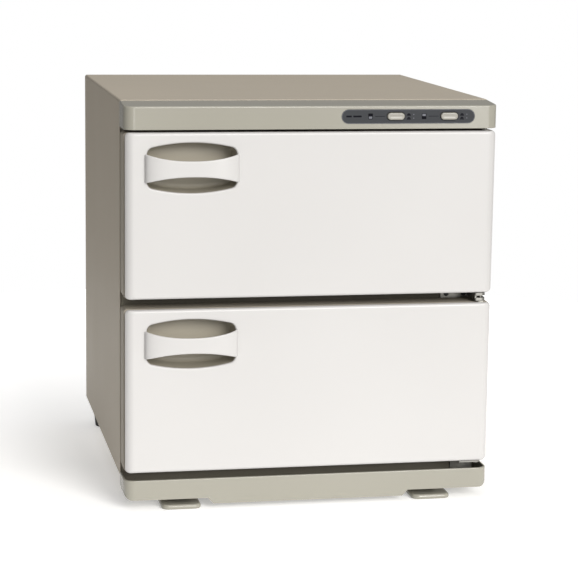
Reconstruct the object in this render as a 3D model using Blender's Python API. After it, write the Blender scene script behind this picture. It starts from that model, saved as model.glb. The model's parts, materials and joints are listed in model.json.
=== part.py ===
"""Two-door hot towel cabinet for a salon, modelled in metres with +Z up.

The doors face -Y and swing about upright hinges on the right. The origin is on the floor, under the
middle of the whole object.
"""

import math

import bmesh
import bpy
from mathutils import Matrix, Vector

# Outer size
WIDTH = 0.450
HEIGHT = 0.4884
CASING_DEPTH = 0.423
FASCIA_DEPTH = 0.0476
HANDLE_BOW = 0.014

# Material thicknesses and clearances
SHEET = 0.0012
MOULDING = 0.0025
GAP = 0.0003
LOOSE_GAP = 0.0005
EDGE_GAP = 0.0008

# Planes from back to front
Y_BACK = (CASING_DEPTH + FASCIA_DEPTH + HANDLE_BOW) / 2
Y_CASING = Y_BACK - CASING_DEPTH
Y_FACE = Y_CASING - FASCIA_DEPTH
PANEL_RECESS = 0.004
Y_PANEL = Y_BACK - PANEL_RECESS
FRAME_FRONT = Y_CASING + 0.0005
FRAME_THICKNESS = 0.003

# Heights above the floor
SIDE_BOTTOM = 0.0335
PAN_BOTTOM = 0.0342
PAN_FLANGE = 0.012
APRON_BOTTOM = 0.014
BOTTOM_TRIM_LOW = 0.0062
BOTTOM_TRIM_END = 0.0135
BOTTOM_TRIM_TOP = 0.0378
TOP_TRIM_LOW = 0.4571
TOP_TRIM_FRONT = 0.4845
DOOR_HEIGHTS = {"lower": (0.0470, 0.2447), "upper": (0.2573, 0.4541)}

# Corner radii of the fascia
PLAN_RADIUS = 0.013
DOOR_RADIUS = 0.012
DOOR_EDGE = 0.0035
CASING_BEND = 0.003

# Doors: distances behind the face
RETURN_DEPTH = 0.006
TUB_FRONT = 0.0065
TUB_STEP = 0.0123
TUB_FLOOR = 0.0415
TUB_BACK = 0.044
TUB_INSET = 0.0004
TUB_NECK = 0.0046
TUB_WALL = 0.009
SHELL_INSET = 0.0058

# Handle recess and the strap that bridges it
RECESS_X = -0.145
RECESS_BELOW_TOP = 0.012
RECESS_HALF_WIDTH = 0.053
RECESS_HALF_HEIGHT = 0.0296
RECESS_ARC = 0.200
RECESS_CORNER = 0.008
CUP_DEPTH = 0.027
CUP_WALL = 0.002
STRAP_HALF_WIDTH = 0.0556
STRAP_THICKNESS = 0.0028
STRAP_HALF_MIDDLE = 0.0093
STRAP_HALF_END = 0.0165
STRAP_POWER = 2.6
STRAP_SPREAD = 2.2
STRAP_STATIONS = 20

# Hinges
HINGE_X = 0.2128
HINGE_Y = Y_FACE + 0.013
PIN_RADIUS = 0.0020
BUSH_RADIUS = 0.0040
BUSH_LENGTH = 0.0110
BUSH_PROUD = 0.0010
PIN_REACH = 0.0104
PIN_HEAD_RADIUS = 0.0034
PIN_HEAD = 0.0015
BRACKET = 0.0018
PLATE = 0.0020
KNUCKLE = 0.0055
TOP_ARM_Z = 0.4586
BOTTOM_ARM_Z = 0.0434
BOTTOM_FLANGE_LEFT = 0.1900
MIDDLE_ARM = 0.0034
MIDDLE_ARM_DEPTH = 0.0180
MIDDLE_FLANGE_LEFT = 0.1720
WEB_LEFT = HINGE_X - 0.0081
WEB = 0.0024

# Warm chambers
CHAMBER_HALF_WIDTH = 0.188
CHAMBER_HEIGHT = 0.162
CHAMBER_DEPTH = 0.300
HEATER_SPACE = 0.0035
INSULATION = 0.012
TRAY_INSET = 0.012
TRAY_HEIGHT = 0.020
TRAY_WALL = 0.0012
TRAY_CORNER = 0.008
RACK_INSET = 0.009
RACK_BAR = 0.004
RACK_THICKNESS = 0.003
RACK_COLUMNS = 9
RACK_ROWS = 2

# Controls
LABEL_X = (0.0326, 0.1953)
LABEL_Z = (0.4635, 0.4802)
LABEL_THICKNESS = 0.0008
CAP_SIZE = (0.0215, 0.0085)
CAP_Z = 0.4721
CAP_PROUD = 0.0027
CAP_CLEARANCE = 0.0008
CAP_X = {"upper": 0.0983, "lower": 0.1637}

# Mains inlet on the back
INLET_X = -0.150
INLET_Z = 0.085
INLET_DEPTH = 0.018
TERMINAL_PITCH = 0.012
TERMINAL_LAND = 0.008
TERMINAL_Y = Y_CASING + 0.362
TERMINAL_TOP = 0.0540
LOOM_RADIUS = 0.0028
SWITCH_LOOM_X = 0.131
VENT = (0.004, 0.034)
VENT_PITCH = 0.012
VENT_COLUMNS = 10
VENT_HEIGHTS = (0.118, 0.412)

# Feet and the steps in the bottom trim
FOOT_X = 0.155
PAD_HALF_WIDTH = 0.024
PAD_HEIGHT = 0.0058
COLUMN_HALF_WIDTH = 0.017
REAR_FOOT = (0.203, Y_CASING + 0.385)
STEP_INNER = 0.117
STEP_OUTER = 0.124
TRIM_END_RADIUS = 0.010


def clear_scene():
    for obj in list(bpy.data.objects):
        bpy.data.objects.remove(obj, do_unlink=True)


def material(name, color, roughness, metallic=0.0):
    made = bpy.data.materials.new(name)
    made.use_nodes = True
    shader = made.node_tree.nodes["Principled BSDF"]
    shader.inputs["Base Color"].default_value = (*color, 1.0)
    shader.inputs["Roughness"].default_value = roughness
    shader.inputs["Metallic"].default_value = metallic
    return made


# Outlines: lists of 2-D points, anticlockwise


def arc(center, radius, start, end, steps):
    """Points on a circle from start to end degrees, both ends included."""
    angles = [math.radians(start + (end - start) * i / steps) for i in range(steps + 1)]
    return [(center[0] + radius * math.cos(a), center[1] + radius * math.sin(a)) for a in angles]


def rounded_box(x0, x1, y0, y1, radius, steps=3):
    centers = (
        ((x1 - radius, y1 - radius), 0),
        ((x0 + radius, y1 - radius), 90),
        ((x0 + radius, y0 + radius), 180),
        ((x1 - radius, y0 + radius), 270),
    )
    return [p for center, start in centers for p in arc(center, radius, start, start + 90, steps)]


def sharp_box(x0, x1, y0, y1):
    return [(x1, y1), (x0, y1), (x0, y0), (x1, y0)]


def circle(center, radius, steps=12):
    return arc(center, radius, 0, 360 - 360 / steps, steps - 1)


def stadium(x0, x1, z0, z1, steps=6):
    radius = (z1 - z0) / 2
    right = arc((x1 - radius, z0 + radius), radius, -90, 90, steps)
    return right + arc((x0 + radius, z0 + radius), radius, 90, 270, steps)


def recess_outline(grow, steps=3, arc_steps=4):
    """A barrel: flat ends, long arcs above and below, round corners tangent to both."""
    half_width = RECESS_HALF_WIDTH + grow
    radius = RECESS_ARC + grow
    corner = RECESS_CORNER + grow
    arc_drop = radius - RECESS_HALF_HEIGHT - grow
    corner_x = half_width - corner
    corner_z = math.sqrt((radius - corner) ** 2 - corner_x**2) - arc_drop
    lean = math.degrees(math.atan2(corner_z + arc_drop, corner_x))
    quarter = arc((corner_x, corner_z), corner, 0, lean, steps)
    top = arc((0, -arc_drop), radius, lean, 180 - lean, arc_steps)[1:-1]
    left = [(-x, z) for x, z in reversed(quarter)]
    upper_half = quarter + top + left
    return upper_half + [(-x, -z) for x, z in upper_half]


def fascia_plan(inset, back):
    """The fascia from above: round front corners, straight back, all of it inset by one distance."""
    half = WIDTH / 2 - inset
    front = Y_FACE + inset
    radius = PLAN_RADIUS - inset
    left = arc((-half + radius, front + radius), radius, 180, 270, 5)
    right = arc((half - radius, front + radius), radius, 270, 360, 5)
    return left + right + [(half, back), (-half, back)]


# Solids


def place(point, height, axis):
    """A 2-D point at a height along an axis: X takes (y, z), Y takes (x, z) and Z takes (x, y)."""
    u, v = point
    return {"X": (height, u, v), "Y": (u, height, v), "Z": (u, v, height)}[axis]


def finish_mesh(name, bm, look, smooth=30):
    bmesh.ops.recalc_face_normals(bm, faces=bm.faces)
    mesh = bpy.data.meshes.new(name)
    bm.to_mesh(mesh)
    bm.free()
    mesh.shade_smooth()
    mesh.set_sharp_from_angle(angle=math.radians(smooth))
    obj = bpy.data.objects.new(name, mesh)
    bpy.context.scene.collection.objects.link(obj)
    if look:
        obj.data.materials.append(look)
    return obj


def loft(name, rings, look, axis="Y"):
    """A closed skin over rings of one point count, given as (outline, height), with both ends capped."""
    bm = bmesh.new()
    rows = [[bm.verts.new(place(p, height, axis)) for p in outline] for outline, height in rings]
    for low, high in zip(rows, rows[1:]):
        for i, vert in enumerate(low):
            after = (i + 1) % len(low)
            bm.faces.new((vert, low[after], high[after], high[i]))
    bm.faces.new(rows[0])
    bm.faces.new(rows[-1])
    return finish_mesh(name, bm, look)


def prism(name, outline, low, high, look, axis="Y"):
    return loft(name, [(outline, low), (outline, high)], look, axis)


def ring(name, outer, inner, low, high, look, axis="Y"):
    """A band between two outlines of one point count."""
    bm = bmesh.new()
    order = [(outer, low), (outer, high), (inner, high), (inner, low)]
    rows = [[bm.verts.new(place(p, height, axis)) for p in outline] for outline, height in order]
    for low_row, high_row in zip(rows, rows[1:] + rows[:1]):
        for i, vert in enumerate(low_row):
            after = (i + 1) % len(low_row)
            bm.faces.new((vert, low_row[after], high_row[after], high_row[i]))
    return finish_mesh(name, bm, look)


def pierced_plate(name, outer, holes, low, high, look, axis="Y"):
    """A plate with rectangular holes, built on a grid through every hole's edges."""
    us = sorted({outer[0], outer[1], *(u for hole in holes for u in hole[:2])})
    vs = sorted({outer[2], outer[3], *(v for hole in holes for v in hole[2:])})

    def solid(i, j):
        if not (0 <= i < len(us) - 1 and 0 <= j < len(vs) - 1):
            return False
        u = (us[i] + us[i + 1]) / 2
        v = (vs[j] + vs[j + 1]) / 2
        return not any(u0 < u < u1 and v0 < v < v1 for u0, u1, v0, v1 in holes)

    bm = bmesh.new()
    verts = {}

    def vert(i, j, height):
        key = (i, j, height)
        if key not in verts:
            verts[key] = bm.verts.new(place((us[i], vs[j]), height, axis))
        return verts[key]

    for i in range(len(us) - 1):
        for j in range(len(vs) - 1):
            if not solid(i, j):
                continue
            corners = ((i, j), (i + 1, j), (i + 1, j + 1), (i, j + 1))
            for height in (low, high):
                bm.faces.new([vert(*corner, height) for corner in corners])
            beyond = ((i, j - 1), (i + 1, j), (i, j + 1), (i - 1, j))
            for side, neighbour in enumerate(beyond):
                if not solid(*neighbour):
                    a = corners[side]
                    b = corners[(side + 1) % 4]
                    bm.faces.new((vert(*a, low), vert(*b, low), vert(*b, high), vert(*a, high)))
    return finish_mesh(name, bm, look)


def turned(name, center, profile, look, steps=12):
    """A round piece on an upright axis: profile is a list of (radius, height)."""
    return loft(name, [(circle(center, radius, steps), z) for radius, z in profile], look, "Z")


def combine(obj, other, operation):
    """Adds a Boolean whose other half stays in the scene as a hidden guide."""
    modifier = obj.modifiers.new(operation.title(), "BOOLEAN")
    modifier.operation = operation
    modifier.object = other
    other.hide_render = True
    other.display_type = "WIRE"
    other.parent = obj
    return obj


def cut(obj, other):
    return combine(obj, other, "DIFFERENCE")


def add(obj, other):
    return combine(obj, other, "UNION")


def axis_empty(name, point):
    empty = bpy.data.objects.new(name, None)
    empty.location = point
    bpy.context.scene.collection.objects.link(empty)
    return empty


def hang_on(empty, pieces):
    """Gives the pieces and their guides the empty's origin, so they turn about its axis."""
    for piece in pieces:
        for member in (piece, *piece.children):
            member.data.transform(Matrix.Translation(-Vector(empty.location)))
        piece.parent = empty


def wire(name, points, radius, look):
    """A round cable along a smooth curve through its points."""
    curve = bpy.data.curves.new(name, "CURVE")
    curve.dimensions = "3D"
    curve.bevel_depth = radius
    curve.bevel_resolution = 1
    curve.use_fill_caps = True
    route = smooth_route([Vector(p) for p in points])
    spline = curve.splines.new("POLY")
    spline.points.add(len(route) - 1)
    for target, point in zip(spline.points, route):
        target.co = (*point, 1.0)
    curve.materials.append(look)
    obj = bpy.data.objects.new(name, curve)
    bpy.context.scene.collection.objects.link(obj)
    return obj


def smooth_route(points, steps=4):
    """Catmull-Rom points through the given ones."""
    padded = [2 * points[0] - points[1], *points, 2 * points[-1] - points[-2]]
    route = []
    for a, b, c, d in zip(padded, padded[1:], padded[2:], padded[3:]):
        for i in range(steps):
            t = i / steps
            slope = (c - a) + (2 * a - 5 * b + 4 * c - d) * t + (3 * b - a - 3 * c + d) * t * t
            route.append(b + slope * t / 2)
    return [*route, points[-1]]


# Casing and frame


def casing(look):
    half = WIDTH / 2
    bend = CASING_BEND
    outer = [(half, SIDE_BOTTOM)] + arc((half - bend, HEIGHT - bend), bend, 0, 90, 3)
    outer += arc((bend - half, HEIGHT - bend), bend, 90, 180, 3) + [(-half, SIDE_BOTTOM)]
    inner_bend = bend - SHEET
    inner = [(SHEET - half, SIDE_BOTTOM)] + arc((bend - half, HEIGHT - bend), inner_bend, 180, 90, 3)
    inner += arc((half - bend, HEIGHT - bend), inner_bend, 90, 0, 3) + [(half - SHEET, SIDE_BOTTOM)]
    prism("outer_casing", outer + inner, Y_CASING, Y_BACK, look)


def base_pan(look):
    half = WIDTH / 2 - SHEET - GAP
    top = PAN_BOTTOM + PAN_FLANGE
    floor = PAN_BOTTOM + SHEET
    outline = [
        (-half, PAN_BOTTOM),
        (half, PAN_BOTTOM),
        (half, top),
        (half - SHEET, top),
        (half - SHEET, floor),
        (SHEET - half, floor),
        (SHEET - half, top),
        (-half, top),
    ]
    front = FRAME_FRONT + FRAME_THICKNESS + GAP
    prism("base_pan", outline, front, Y_PANEL - SHEET - GAP, look)


def back_panel(look):
    half = WIDTH / 2 - SHEET - EDGE_GAP
    outer = (-half, half, PAN_BOTTOM, HEIGHT - SHEET - EDGE_GAP)
    vent_width, vent_height = VENT
    vents = []
    for i in range(VENT_COLUMNS):
        x = VENT_PITCH * (i - (VENT_COLUMNS - 1) / 2)
        vents += [(x - vent_width / 2, x + vent_width / 2, z, z + vent_height) for z in VENT_HEIGHTS]
    inlet = (INLET_X - 0.0142, INLET_X + 0.0142, INLET_Z - 0.0104, INLET_Z + 0.0104)
    pierced_plate("back_panel", outer, [*vents, inlet], Y_PANEL - SHEET, Y_PANEL, look)


def chamber_heights(name):
    """Floor and ceiling of the chamber behind a door."""
    middle = sum(DOOR_HEIGHTS[name]) / 2
    return middle - CHAMBER_HEIGHT / 2, middle + CHAMBER_HEIGHT / 2


def front_frame(look):
    half = WIDTH / 2 - SHEET - EDGE_GAP
    outer = (-half, half, APRON_BOTTOM, HEIGHT - SHEET - EDGE_GAP)
    width = CHAMBER_HALF_WIDTH
    openings = [(-width, width, *chamber_heights(name)) for name in DOOR_HEIGHTS]
    loom_slot = (0.120, 0.142, 0.462, 0.476)
    back = FRAME_FRONT + FRAME_THICKNESS
    pierced_plate("front_frame", outer, [*openings, loom_slot], FRAME_FRONT, back, look)


def top_trim(look):
    back = Y_CASING - GAP
    wall = MOULDING
    trim = prism("top_trim", fascia_plan(0, back), TOP_TRIM_LOW, HEIGHT, look, "Z")
    slope = [
        (Y_FACE - wall, HEIGHT + wall),
        (Y_FACE - wall, TOP_TRIM_FRONT),
        (Y_FACE, TOP_TRIM_FRONT),
        (back + wall, HEIGHT + 0.0002),
        (back + wall, HEIGHT + wall),
    ]
    cut(trim, prism("top_slope_guide", slope, -WIDTH, WIDTH, None, "X"))
    hollow = fascia_plan(wall, Y_CASING + wall)
    cut(trim, prism("top_hollow_guide", hollow, 0.44, TOP_TRIM_FRONT - wall, None, "Z"))
    label = stadium(LABEL_X[0] - GAP, LABEL_X[1] + GAP, LABEL_Z[0] - GAP, LABEL_Z[1] + GAP)
    floor = Y_FACE + LABEL_THICKNESS
    cut(trim, prism("label_recess_guide", label, Y_FACE - wall, floor, None))
    for name in CAP_X:
        cut(trim, cap_guide(f"{name}_trim_slot_guide", name, CAP_CLEARANCE, Y_FACE - wall, Y_FACE + 2 * wall))


def bottom_trim(look):
    back = Y_CASING - GAP
    wall = MOULDING
    outer = fascia_plan(0, back)
    trim = prism("bottom_trim", outer, BOTTOM_TRIM_LOW, BOTTOM_TRIM_TOP, look, "Z")
    hollow = fascia_plan(wall, Y_CASING + wall)
    floor = BOTTOM_TRIM_END + wall
    cut(trim, prism("bottom_hollow_guide", hollow, floor, HEIGHT, None, "Z"))
    cut(trim, prism("skirt_hollow_guide", hollow, 0, BOTTOM_TRIM_END, None, "Z"))
    corner = TRIM_END_RADIUS
    half = WIDTH / 2
    for side in (-1, 1):
        steps = [(side * STEP_INNER, -0.01), (side * STEP_INNER, BOTTOM_TRIM_LOW)]
        steps.append((side * STEP_OUTER, BOTTOM_TRIM_END))
        center = (side * (half - corner), BOTTOM_TRIM_END + corner)
        steps += arc(center, corner, 270, 270 + side * 90, 4)
        steps += [(side * (half + corner), BOTTOM_TRIM_END + corner), (side * (half + corner), -0.01)]
        cut(trim, prism(f"trim_end_guide_{side}", steps, Y_FACE - wall, Y_CASING + wall, None))


# Controls


def cap_outline(name, grow):
    half_x = CAP_SIZE[0] / 2 + grow
    half_z = CAP_SIZE[1] / 2 + grow
    return stadium(CAP_X[name] - half_x, CAP_X[name] + half_x, CAP_Z - half_z, CAP_Z + half_z, 5)


def cap_guide(guide_name, name, grow, front, back):
    return prism(guide_name, cap_outline(name, grow), front, back, None)


def controls(looks):
    front = Y_FACE - GAP
    plate = stadium(*LABEL_X, *LABEL_Z)
    label = prism("control_label", plate, front, front + LABEL_THICKNESS, looks["label"])
    body_front = Y_FACE + MOULDING + GAP
    cap_back = body_front + 0.0035
    for name, x in CAP_X.items():
        cut(label, cap_guide(f"{name}_label_slot_guide", name, CAP_CLEARANCE, Y_FACE - 0.01, Y_FACE + 0.01))
        block = sharp_box(x - 0.0135, x + 0.0135, CAP_Z - 0.0068, CAP_Z + 0.0068)
        body = prism(f"{name}_switch_body", block, body_front, body_front + 0.019, looks["black_plastic"])
        cut(body, cap_guide(f"{name}_switch_pocket_guide", name, CAP_CLEARANCE, Y_FACE, cap_back + 0.0008))
        rings = [
            (cap_outline(name, -0.0012), Y_FACE - CAP_PROUD),
            (cap_outline(name, 0), Y_FACE - CAP_PROUD + 0.0012),
            (cap_outline(name, 0), cap_back),
        ]
        cap = loft(f"{name}_rocker_cap", rings, looks["cap"])
        hang_on(axis_empty(f"{name}_rocker_axis", (x, body_front, CAP_Z)), [cap])


# Warm chambers and what heats them


def chamber(name, looks):
    floor, ceiling = chamber_heights(name)
    half = CHAMBER_HALF_WIDTH
    front = FRAME_FRONT + FRAME_THICKNESS + GAP
    back = front + CHAMBER_DEPTH

    def around(grow, drop=0.0):
        return rounded_box(-half - grow, half + grow, floor - grow - drop, ceiling + grow, 0.006 + grow, 2)

    liner = [(around(0), back), (around(0), front), (around(SHEET), front), (around(SHEET), back + SHEET)]
    loft(f"{name}_chamber_liner", liner, looks["liner"])
    inner = around(SHEET + LOOSE_GAP, HEATER_SPACE)
    outer = around(SHEET + LOOSE_GAP + INSULATION, HEATER_SPACE)
    ring(f"{name}_insulation", outer, inner, front + 0.004, back - 0.002, looks["wool"])
    mat = sharp_box(-0.165, 0.165, front + 0.030, back - 0.030)
    mat_top = floor - SHEET - GAP
    prism(f"{name}_heater_mat", mat, mat_top - 0.0016, mat_top, looks["silicone"], "Z")
    disc = [(circle((0.060, floor + 0.080), r), back + SHEET + GAP + depth)
            for r, depth in ((0.0115, 0), (0.0115, 0.0012), (0.0080, 0.0013), (0.0080, 0.0095))]
    loft(f"{name}_thermostat", disc, looks["aluminium"])
    towel_rack(name, floor + GAP, front, back, looks["steel"])
    drip_tray(name, floor + GAP, front, back, looks["tray"])


def towel_rack(name, floor, front, back, look):
    """A flat grid of bars that lies on the drip tray's rim."""
    half = CHAMBER_HALF_WIDTH - RACK_INSET
    bottom = floor + TRAY_HEIGHT + GAP
    near = front + RACK_INSET
    far = back - RACK_INSET
    pitch = (2 * half - RACK_BAR) / RACK_COLUMNS
    run = (far - near - RACK_BAR) / RACK_ROWS
    slots = [
        (
            RACK_BAR - half + pitch * i,
            pitch * (i + 1) - half,
            near + RACK_BAR + run * j,
            near + run * (j + 1),
        )
        for i in range(RACK_COLUMNS)
        for j in range(RACK_ROWS)
    ]
    outer = (-half, half, near, far)
    pierced_plate(f"{name}_towel_rack", outer, slots, bottom, bottom + RACK_THICKNESS, look, "Z")


def drip_tray(name, floor, front, back, look):
    half = CHAMBER_HALF_WIDTH - TRAY_INSET
    near = front + TRAY_INSET
    far = back - TRAY_INSET
    top = floor + TRAY_HEIGHT

    def around(inset):
        return rounded_box(inset - half, half - inset, near + inset, far - inset, TRAY_CORNER - inset, 2)

    inner = around(TRAY_WALL)
    rings = [(around(0), floor), (around(0), top), (inner, top), (inner, floor + TRAY_WALL)]
    loft(f"{name}_drip_tray", rings, look, "Z")


# Doors


def door(name, looks):
    low, high = DOOR_HEIGHTS[name]
    middle = high - RECESS_BELOW_TOP - RECESS_HALF_HEIGHT
    pieces = [
        door_shell(name, low, high, middle, looks["white"]),
        door_tub(name, low, high, looks["beige_plastic"]),
        handle_cup(name, middle, looks["cup"]),
        door_insulation(name, low, high, looks["wool"]),
        door_gasket(name, looks["rubber"]),
        strike_plate(name, looks["steel"]),
        hinge_bush(name, "bottom", low - BUSH_PROUD, looks["nylon"]),
        hinge_bush(name, "top", high + BUSH_PROUD - BUSH_LENGTH, looks["nylon"]),
    ]
    hang_on(axis_empty(f"{name}_door_axis", (HINGE_X, HINGE_Y, low)), pieces)


def door_plan(inset, back):
    """The shell from above: round sides, cut off where they reach the back plane."""
    half = WIDTH / 2 - inset
    radius = DOOR_RADIUS - inset
    front = Y_FACE + inset
    lean = max(0.0, math.degrees(math.asin((front + radius - back) / radius)))
    left = arc((radius - half, front + radius), radius, 180 + lean, 270, 5)
    right = arc((half - radius, front + radius), radius, 270, 360 - lean, 5)
    return left + right


def door_shell(name, low, high, middle, look):
    edge = DOOR_EDGE
    half_edge = edge * (1 - math.sqrt(0.5))
    back = Y_FACE + RETURN_DEPTH
    steps = ((edge, 0), (half_edge, half_edge), (0, edge))
    rings = [(door_plan(inset, back), low + rise) for inset, rise in steps]
    rings += [(door_plan(inset, back), high - rise) for inset, rise in reversed(steps)]
    shell = loft(f"{name}_door_shell", rings, look, "Z")
    inner_half = WIDTH / 2 - SHELL_INSET
    hollow = rounded_box(-inner_half, inner_half, low + MOULDING, high - MOULDING, MOULDING, 2)
    inside = Y_FACE + MOULDING
    cut(shell, prism(f"{name}_shell_hollow_guide", hollow, inside, back + 0.01, None))
    hole = [(RECESS_X + x, middle + z) for x, z in recess_outline(0)]
    cut(shell, prism(f"{name}_recess_guide", hole, Y_FACE - 0.01, Y_FACE + 0.01, None))
    add(shell, strap(f"{name}_strap_guide", middle))
    return shell


def strap_bow(share, half_width, height):
    """Superellipse: steep at its roots, almost flat across its middle."""
    angle = math.pi * share
    power = 2 / STRAP_POWER
    x = -half_width * math.copysign(abs(math.cos(angle)) ** power, math.cos(angle))
    return x, height * math.sin(angle) ** power


def strap(name, middle):
    """The grip: a bowed band, narrow in its middle, whose roots run into the shell's front wall."""
    bm = bmesh.new()
    rows = []
    inner_half_width = STRAP_HALF_WIDTH - STRAP_THICKNESS
    for i in range(STRAP_STATIONS + 1):
        share = i / STRAP_STATIONS
        outer_x, outer_y = strap_bow(share, STRAP_HALF_WIDTH, HANDLE_BOW)
        inner_x, inner_y = strap_bow(share, inner_half_width, HANDLE_BOW - STRAP_THICKNESS)
        if i in (0, STRAP_STATIONS):
            outer_y = inner_y = -0.9 * MOULDING
        spread = abs(outer_x / STRAP_HALF_WIDTH) ** STRAP_SPREAD
        half = STRAP_HALF_MIDDLE + (STRAP_HALF_END - STRAP_HALF_MIDDLE) * spread
        corners = [(outer_x, outer_y, half), (inner_x, inner_y, half)]
        corners += [(inner_x, inner_y, -half), (outer_x, outer_y, -half)]
        rows.append([bm.verts.new((RECESS_X + x, Y_FACE - y, middle + z)) for x, y, z in corners])
    for a, b in zip(rows, rows[1:]):
        for k in range(4):
            after = (k + 1) % 4
            bm.faces.new((a[k], a[after], b[after], b[k]))
    bm.faces.new(rows[0])
    bm.faces.new(rows[-1])
    return finish_mesh(name, bm, None)


def door_tub(name, low, high, look):
    """The inner half of the door: a neck that sits in the shell, then the full outline back to its floor."""
    half = WIDTH / 2

    def around(inset):
        return rounded_box(inset - half, half - inset, low + inset, high - inset, 0.0045, 2)

    step = Y_FACE + TUB_STEP
    rings = [
        (around(TUB_WALL), Y_FACE + TUB_FLOOR),
        (around(TUB_WALL), Y_FACE + TUB_FRONT),
        (around(TUB_NECK), Y_FACE + TUB_FRONT),
        (around(TUB_NECK), step),
        (around(TUB_INSET), step),
        (around(TUB_INSET), Y_FACE + TUB_BACK),
    ]
    tub = loft(f"{name}_door_inner_tub", rings, look)
    block = sharp_box(HINGE_X - 0.0075, HINGE_X + 0.0052, Y_FACE + TUB_FRONT + 0.0004, HINGE_Y + 0.0075)
    add(tub, prism(f"{name}_bottom_block_guide", block, low + 0.006, low + 0.014, None, "Z"))
    add(tub, prism(f"{name}_top_block_guide", block, high - 0.014, high - 0.006, None, "Z"))
    hole = circle((HINGE_X, HINGE_Y), BUSH_RADIUS + GAP)
    depth = PIN_REACH + 2 * GAP
    cut(tub, prism(f"{name}_bottom_bush_hole_guide", hole, low - 0.01, low + depth, None, "Z"))
    cut(tub, prism(f"{name}_top_bush_hole_guide", hole, high - depth, high + 0.01, None, "Z"))
    return tub


def handle_cup(name, middle, look):
    """The finger pocket behind the strap, with a rim that lies against the back of the shell."""

    def around(grow):
        return [(RECESS_X + x, middle + z) for x, z in recess_outline(grow)]

    front = Y_FACE + MOULDING + GAP
    floor = Y_FACE + CUP_DEPTH
    rings = [
        (around(-0.0045), floor),
        (around(-0.0015), floor - 0.003),
        (around(0.0006), front),
        (around(0.0045), front),
        (around(0.0045), front + CUP_WALL),
        (around(0.0006 + CUP_WALL), front + CUP_WALL),
        (around(-0.0015 + CUP_WALL), floor - 0.0025),
        (around(-0.0040), floor + CUP_WALL),
    ]
    return loft(f"{name}_handle_cup", rings, look)


def door_insulation(name, low, high, look):
    inset = TUB_WALL + LOOSE_GAP
    half = WIDTH / 2 - inset
    pad = rounded_box(-half, half, low + inset, high - inset, 0.006, 2)
    front = Y_FACE + CUP_DEPTH + CUP_WALL + LOOSE_GAP
    return prism(f"{name}_door_insulation", pad, front, Y_FACE + TUB_FLOOR - GAP, look)


def door_gasket(name, look):
    floor, ceiling = chamber_heights(name)

    def around(grow):
        half = CHAMBER_HALF_WIDTH + grow
        return rounded_box(-half, half, floor - grow, ceiling + grow, 0.004 + grow, 2)

    back = FRAME_FRONT - GAP
    return ring(f"{name}_door_gasket", around(0.010), around(0.003), Y_FACE + TUB_BACK + GAP, back, look)


def strike_plate(name, look):
    middle = sum(DOOR_HEIGHTS[name]) / 2
    plate = stadium_upright(-0.2112, middle, 0.012, 0.040)
    front = Y_FACE + TUB_BACK + GAP
    return prism(f"{name}_strike_plate", plate, front, front + 0.001, look)


def stadium_upright(x, z, width, height):
    radius = width / 2
    top = arc((x, z + height / 2 - radius), radius, 0, 180, 5)
    return top + arc((x, z - height / 2 + radius), radius, 180, 360, 5)


def hinge_bush(name, end, low, look):
    outer = circle((HINGE_X, HINGE_Y), BUSH_RADIUS)
    inner = circle((HINGE_X, HINGE_Y), PIN_RADIUS + 0.00035)
    return ring(f"{name}_door_{end}_bush", outer, inner, low, low + BUSH_LENGTH, look, "Z")


# Hinge brackets, fixed to the frame


def knuckle_plan(left, back):
    """A bracket arm from above, with a round nose about the pin."""
    nose = arc((HINGE_X, HINGE_Y), KNUCKLE, 0, -90, 4)
    front = HINGE_Y - KNUCKLE
    return [(HINGE_X + KNUCKLE, back), *nose, (left + 0.002, front), (left, front + 0.002), (left, back)]


def bracket(name, flange, arms, arm_left, arm_back, look):
    """An upright flange, given as (left, right, low, high), and arms at (low, high) forward of it."""
    back = FRAME_FRONT - GAP
    made = prism(name, sharp_box(*flange), back - BRACKET, back, look)
    for i, (low, high) in enumerate(arms):
        arm = knuckle_plan(arm_left, arm_back)
        add(made, prism(f"{name}_arm_guide_{i}", arm, low, high, None, "Z"))
    return made


def pin_hole(made, low, high):
    hole = circle((HINGE_X, HINGE_Y), PIN_RADIUS + GAP)
    cut(made, prism(f"{made.name}_hole_guide", hole, low - 0.01, high + 0.01, None, "Z"))


def top_hinge(look):
    left = HINGE_X - KNUCKLE
    low, high = TOP_ARM_Z, TOP_ARM_Z + PLATE
    flange = (left, HINGE_X + KNUCKLE, low, low + 0.016)
    made = bracket("top_hinge_bracket", flange, [(low, high)], left, FRAME_FRONT - GAP - BRACKET / 2, look)
    pin_hole(made, low, high)
    head = high + GAP
    tip = DOOR_HEIGHTS["upper"][1] - PIN_REACH
    pin = [(PIN_RADIUS, tip), (PIN_RADIUS, head), (PIN_HEAD_RADIUS, head), (PIN_HEAD_RADIUS, head + PIN_HEAD)]
    turned("top_hinge_pin", (HINGE_X, HINGE_Y), pin, look)


def middle_hinge(look):
    """A flange on the frame between the doors, a web that runs forward and an arm for each door."""
    low, high = DOOR_HEIGHTS["lower"][1], DOOR_HEIGHTS["upper"][0]
    play = BUSH_PROUD + LOOSE_GAP
    arms = [(low + play, low + play + MIDDLE_ARM), (high - play - MIDDLE_ARM, high - play)]
    back = FRAME_FRONT - GAP
    flange = (MIDDLE_FLANGE_LEFT, WEB_LEFT + WEB, low - 0.007, high + 0.007)
    made = bracket("middle_hinge_bracket", flange, arms, WEB_LEFT, back - MIDDLE_ARM_DEPTH, look)
    web = sharp_box(WEB_LEFT, WEB_LEFT + WEB, HINGE_Y - KNUCKLE + 0.002, back - BRACKET / 2)
    add(made, prism("middle_hinge_web_guide", web, arms[0][0] + 0.0001, arms[1][1] - 0.0001, None, "Z"))
    pin_hole(made, low, high)
    pin = [(PIN_RADIUS, low - PIN_REACH), (PIN_RADIUS, high + PIN_REACH)]
    turned("middle_hinge_pin", (HINGE_X, HINGE_Y), pin, look)


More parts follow.
